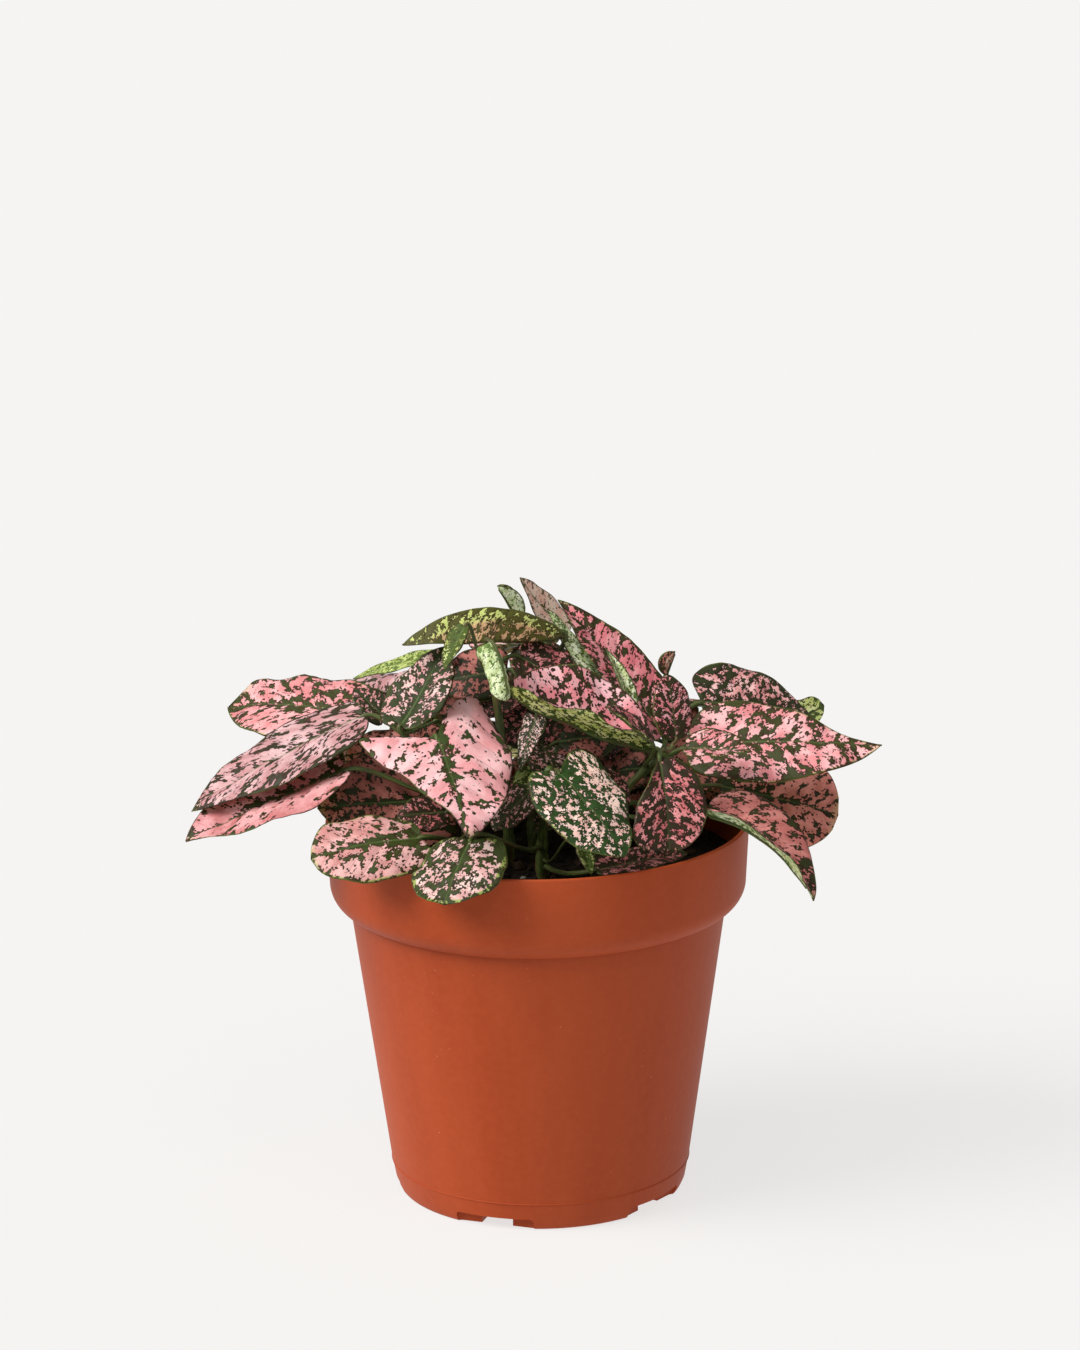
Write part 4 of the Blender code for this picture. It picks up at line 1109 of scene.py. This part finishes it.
def make_pot():
    """The nursery pot, with its notches and drain holes cut out of a turned solid."""
    pot = turned("nursery_pot", pot_profile(), POT_STEPS)
    gap_radius = FOOT_INNER_RADIUS - CUTTER_SPARE
    cutters = []
    for index in range(NOTCH_COUNT):
        azimuth = NOTCH_FIRST_AZIMUTH + index * math.tau / NOTCH_COUNT
        cutters += [
            notch_cutter(f"cut_notch_{index}", SKIRT_INNER_RADIUS, NOTCH_WIDTH, azimuth),
            notch_cutter(f"cut_gap_{index}", gap_radius, NOTCH_GAP_WIDTH, azimuth),
            drain_cutter(f"cut_drain_{index}", azimuth),
        ]
    for cutter in cutters:
        boolean = pot.modifiers.new(cutter.name, "BOOLEAN")
        boolean.operation = "DIFFERENCE"
        boolean.solver = "EXACT"
        boolean.object = cutter
    settle(pot, crease_angle=32)
    for cutter in cutters:
        bpy.data.objects.remove(cutter)
    pot.data.materials.clear()
    pot.data.materials.append(pot_material())
    return pot


def soil_height(x, y):
    """The soil's surface: a low dome with lumps."""
    reach = math.hypot(x, y) / SOIL_EDGE_RADIUS
    dome = SOIL_EDGE_HEIGHT + (SOIL_TOP_HEIGHT - SOIL_EDGE_HEIGHT) * (1 - reach ** 2)
    lumps = noise.noise(Vector((x * LUMP_SCALE, y * LUMP_SCALE, 1))) * LUMP_HEIGHT
    crumbs = noise.noise(Vector((x * CRUMB_SCALE, y * CRUMB_SCALE, 7))) * CRUMB_HEIGHT
    return dome + lumps + crumbs


def make_soil():
    """The root ball's surface as a lumpy disc, closed by a plain side and underside."""
    angles = [math.tau * k / SOIL_SIDES for k in range(SOIL_SIDES)]
    after = [(k + 1) % SOIL_SIDES for k in range(SOIL_SIDES)]
    vertices = [(0, 0, soil_height(0, 0))]
    for ring in range(1, SOIL_RINGS + 1):
        radius = SOIL_EDGE_RADIUS * ring / SOIL_RINGS
        for angle in angles:
            x, y = radius * math.cos(angle), radius * math.sin(angle)
            vertices.append((x, y, soil_height(x, y)))
    for angle in angles:
        x, y = SOIL_UNDERSIDE_RADIUS * math.cos(angle), SOIL_UNDERSIDE_RADIUS * math.sin(angle)
        vertices.append((x, y, SOIL_UNDERSIDE_HEIGHT))
    faces = [(0, 1 + k, 1 + after[k]) for k in range(SOIL_SIDES)]
    for ring in range(SOIL_RINGS):
        a = 1 + ring * SOIL_SIDES
        b = a + SOIL_SIDES
        faces += [(a + k, b + k, b + after[k], a + after[k]) for k in range(SOIL_SIDES)]
    faces.append(tuple(range(len(vertices) - SOIL_SIDES, len(vertices)))[::-1])
    mesh = new_mesh("potting_mix", vertices, faces)
    mesh.shade_smooth()
    mesh.materials.append(soil_material())
    return add_object("potting_mix", mesh)


def make_crumbs():
    """Loose bits on the soil: peat crumbs, bark chips and a few white perlite grains."""
    rng = random.Random(CRUMB_SEED)
    shape = bmesh.new()
    for slot, crumb in enumerate(CRUMBS):
        for _ in range(crumb.count):
            reach = (SOIL_EDGE_RADIUS - CRUMB_EDGE_SPARE) * math.sqrt(rng.random())
            angle = rng.uniform(0, math.tau)
            x, y = reach * math.cos(angle), reach * math.sin(angle)
            size = rng.uniform(crumb.small, crumb.large)
            stretch = (1, rng.uniform(0.5, 0.9), rng.uniform(0.4, 0.8))
            before = len(shape.verts)
            bmesh.ops.create_icosphere(shape, subdivisions=crumb.roundness, radius=size)
            shape.verts.ensure_lookup_table()
            fresh = shape.verts[before:]
            spin = Matrix.Rotation(rng.uniform(0, math.tau), 3, "Z")
            tilt = Matrix.Rotation(rng.uniform(-0.6, 0.6), 3, "X")
            centre = Vector((x, y, soil_height(x, y) + size * CRUMB_RISE))
            offset = Vector((x, y, slot)) * TO_MM
            for vertex in fresh:
                rough = 1 + CRUMB_ROUGH_SHARE * noise.noise(vertex.co * CRUMB_ROUGH_SCALE + offset)
                point = Vector([c * s * rough for c, s in zip(vertex.co, stretch)])
                vertex.co = spin @ tilt @ point + centre
            for face in {f for vertex in fresh for f in vertex.link_faces}:
                face.material_index = slot
    piece = object_from(shape, "soil_crumbs")
    for crumb in CRUMBS:
        piece.data.materials.append(crumb_material(crumb.name, crumb.colour, crumb.roughness))
    return piece


# ---------------------------------------------------------------- stage


def make_floor():
    shape = bmesh.new()
    bmesh.ops.create_grid(shape, x_segments=1, y_segments=1, size=12)
    floor = object_from(shape, "floor")
    n = Nodes("pale_floor")
    n.shader.inputs["Emission Color"].default_value = STUDIO_WHITE
    n.shader.inputs["Emission Strength"].default_value = 0.730
    floor.data.materials.append(n.surface(linear((110, 109, 108)), roughness=0.9, specular=0.0))


def make_sun(name, azimuth, elevation, strength, spread):
    """A soft sun that shines from an azimuth (0 is +X, counterclockwise) and an elevation."""
    data = bpy.data.lights.new(name, "SUN")
    data.energy = strength
    data.angle = math.radians(spread)
    data.color = SUN_COLOUR
    lamp = add_object(name, data)
    lamp.rotation_euler = (0, math.radians(90 - elevation), math.radians(azimuth))


def make_world():
    world = bpy.data.worlds.new("studio")
    world.use_nodes = True
    background = world.node_tree.nodes["Background"]
    background.inputs["Color"].default_value = STUDIO_WHITE
    background.inputs["Strength"].default_value = 0.25
    bpy.context.scene.world = world


def make_camera():
    data = bpy.data.cameras.new("camera")
    data.lens = CAMERA_LENS
    data.sensor_width = 36
    data.sensor_fit = "AUTO"
    data.shift_x = CAMERA_SHIFT
    data.clip_start = 0.05
    data.clip_end = 50
    camera = add_object("camera", data)
    pitch = Matrix.Rotation(math.pi / 2 + CAMERA_PITCH, 4, "X")
    roll = Matrix.Rotation(CAMERA_ROLL, 4, "Z")
    camera.matrix_world = Matrix.Translation((0, -CAMERA_DISTANCE, CAMERA_HEIGHT)) @ pitch @ roll
    bpy.context.scene.camera = camera


def main():
    scene = bpy.context.scene
    scene.view_settings.view_transform = "Standard"
    scene.cycles.use_denoising = True
    make_camera()
    make_world()
    make_floor()
    make_sun("key", azimuth=-160, elevation=42, strength=3.2, spread=36)
    make_sun("front", azimuth=-108, elevation=60, strength=1.0, spread=60)

    tops = {name: leaf_material("leaf_" + name, look, False) for name, look in LOOKS.items()}
    unders = {name: leaf_material("underside_" + name, look, True) for name, look in UNDERS.items()}
    stalk = petiole_material("petiole_green")
    for number, leaf in enumerate(LEAVES):
        surfaces = (tops[leaf.look], unders[leaf.under], stalk)
        if leaf.name in LEFT_LOOKS:
            surfaces += (tops[LEFT_LOOKS[leaf.name]],)
        seed = number * LEAF_SEED_STEP + FIRST_LEAF_SEED
        piece = make_leaf(leaf, "foliage_" + leaf.name[-2:], seed, surfaces)
        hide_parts(leaf.name)
        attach(piece, "root")
    for number, leaf in enumerate([EDGE_LEAF, *SHADED_LEAVES, *inner_leaves()]):
        surfaces = (tops[leaf.look], unders[leaf.under], stalk)
        seed = number * SHADED_SEED_STEP + FIRST_SHADED_SEED
        piece = make_leaf(leaf, f"inner_foliage_{number:02d}", seed, surfaces, INNER_CELL)
        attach(piece, "root")
    for stem in STEMS:
        piece = make_stem(stem, "shoot_" + stem.name[-1], stalk)
        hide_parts(stem.name)
        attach(piece, "root")
    pot = make_pot()
    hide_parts("pot")
    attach(pot, "root")
    soil = make_soil()
    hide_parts("soil")
    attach(soil, "root")
    crumbs = make_crumbs()
    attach(crumbs, "root")


main()
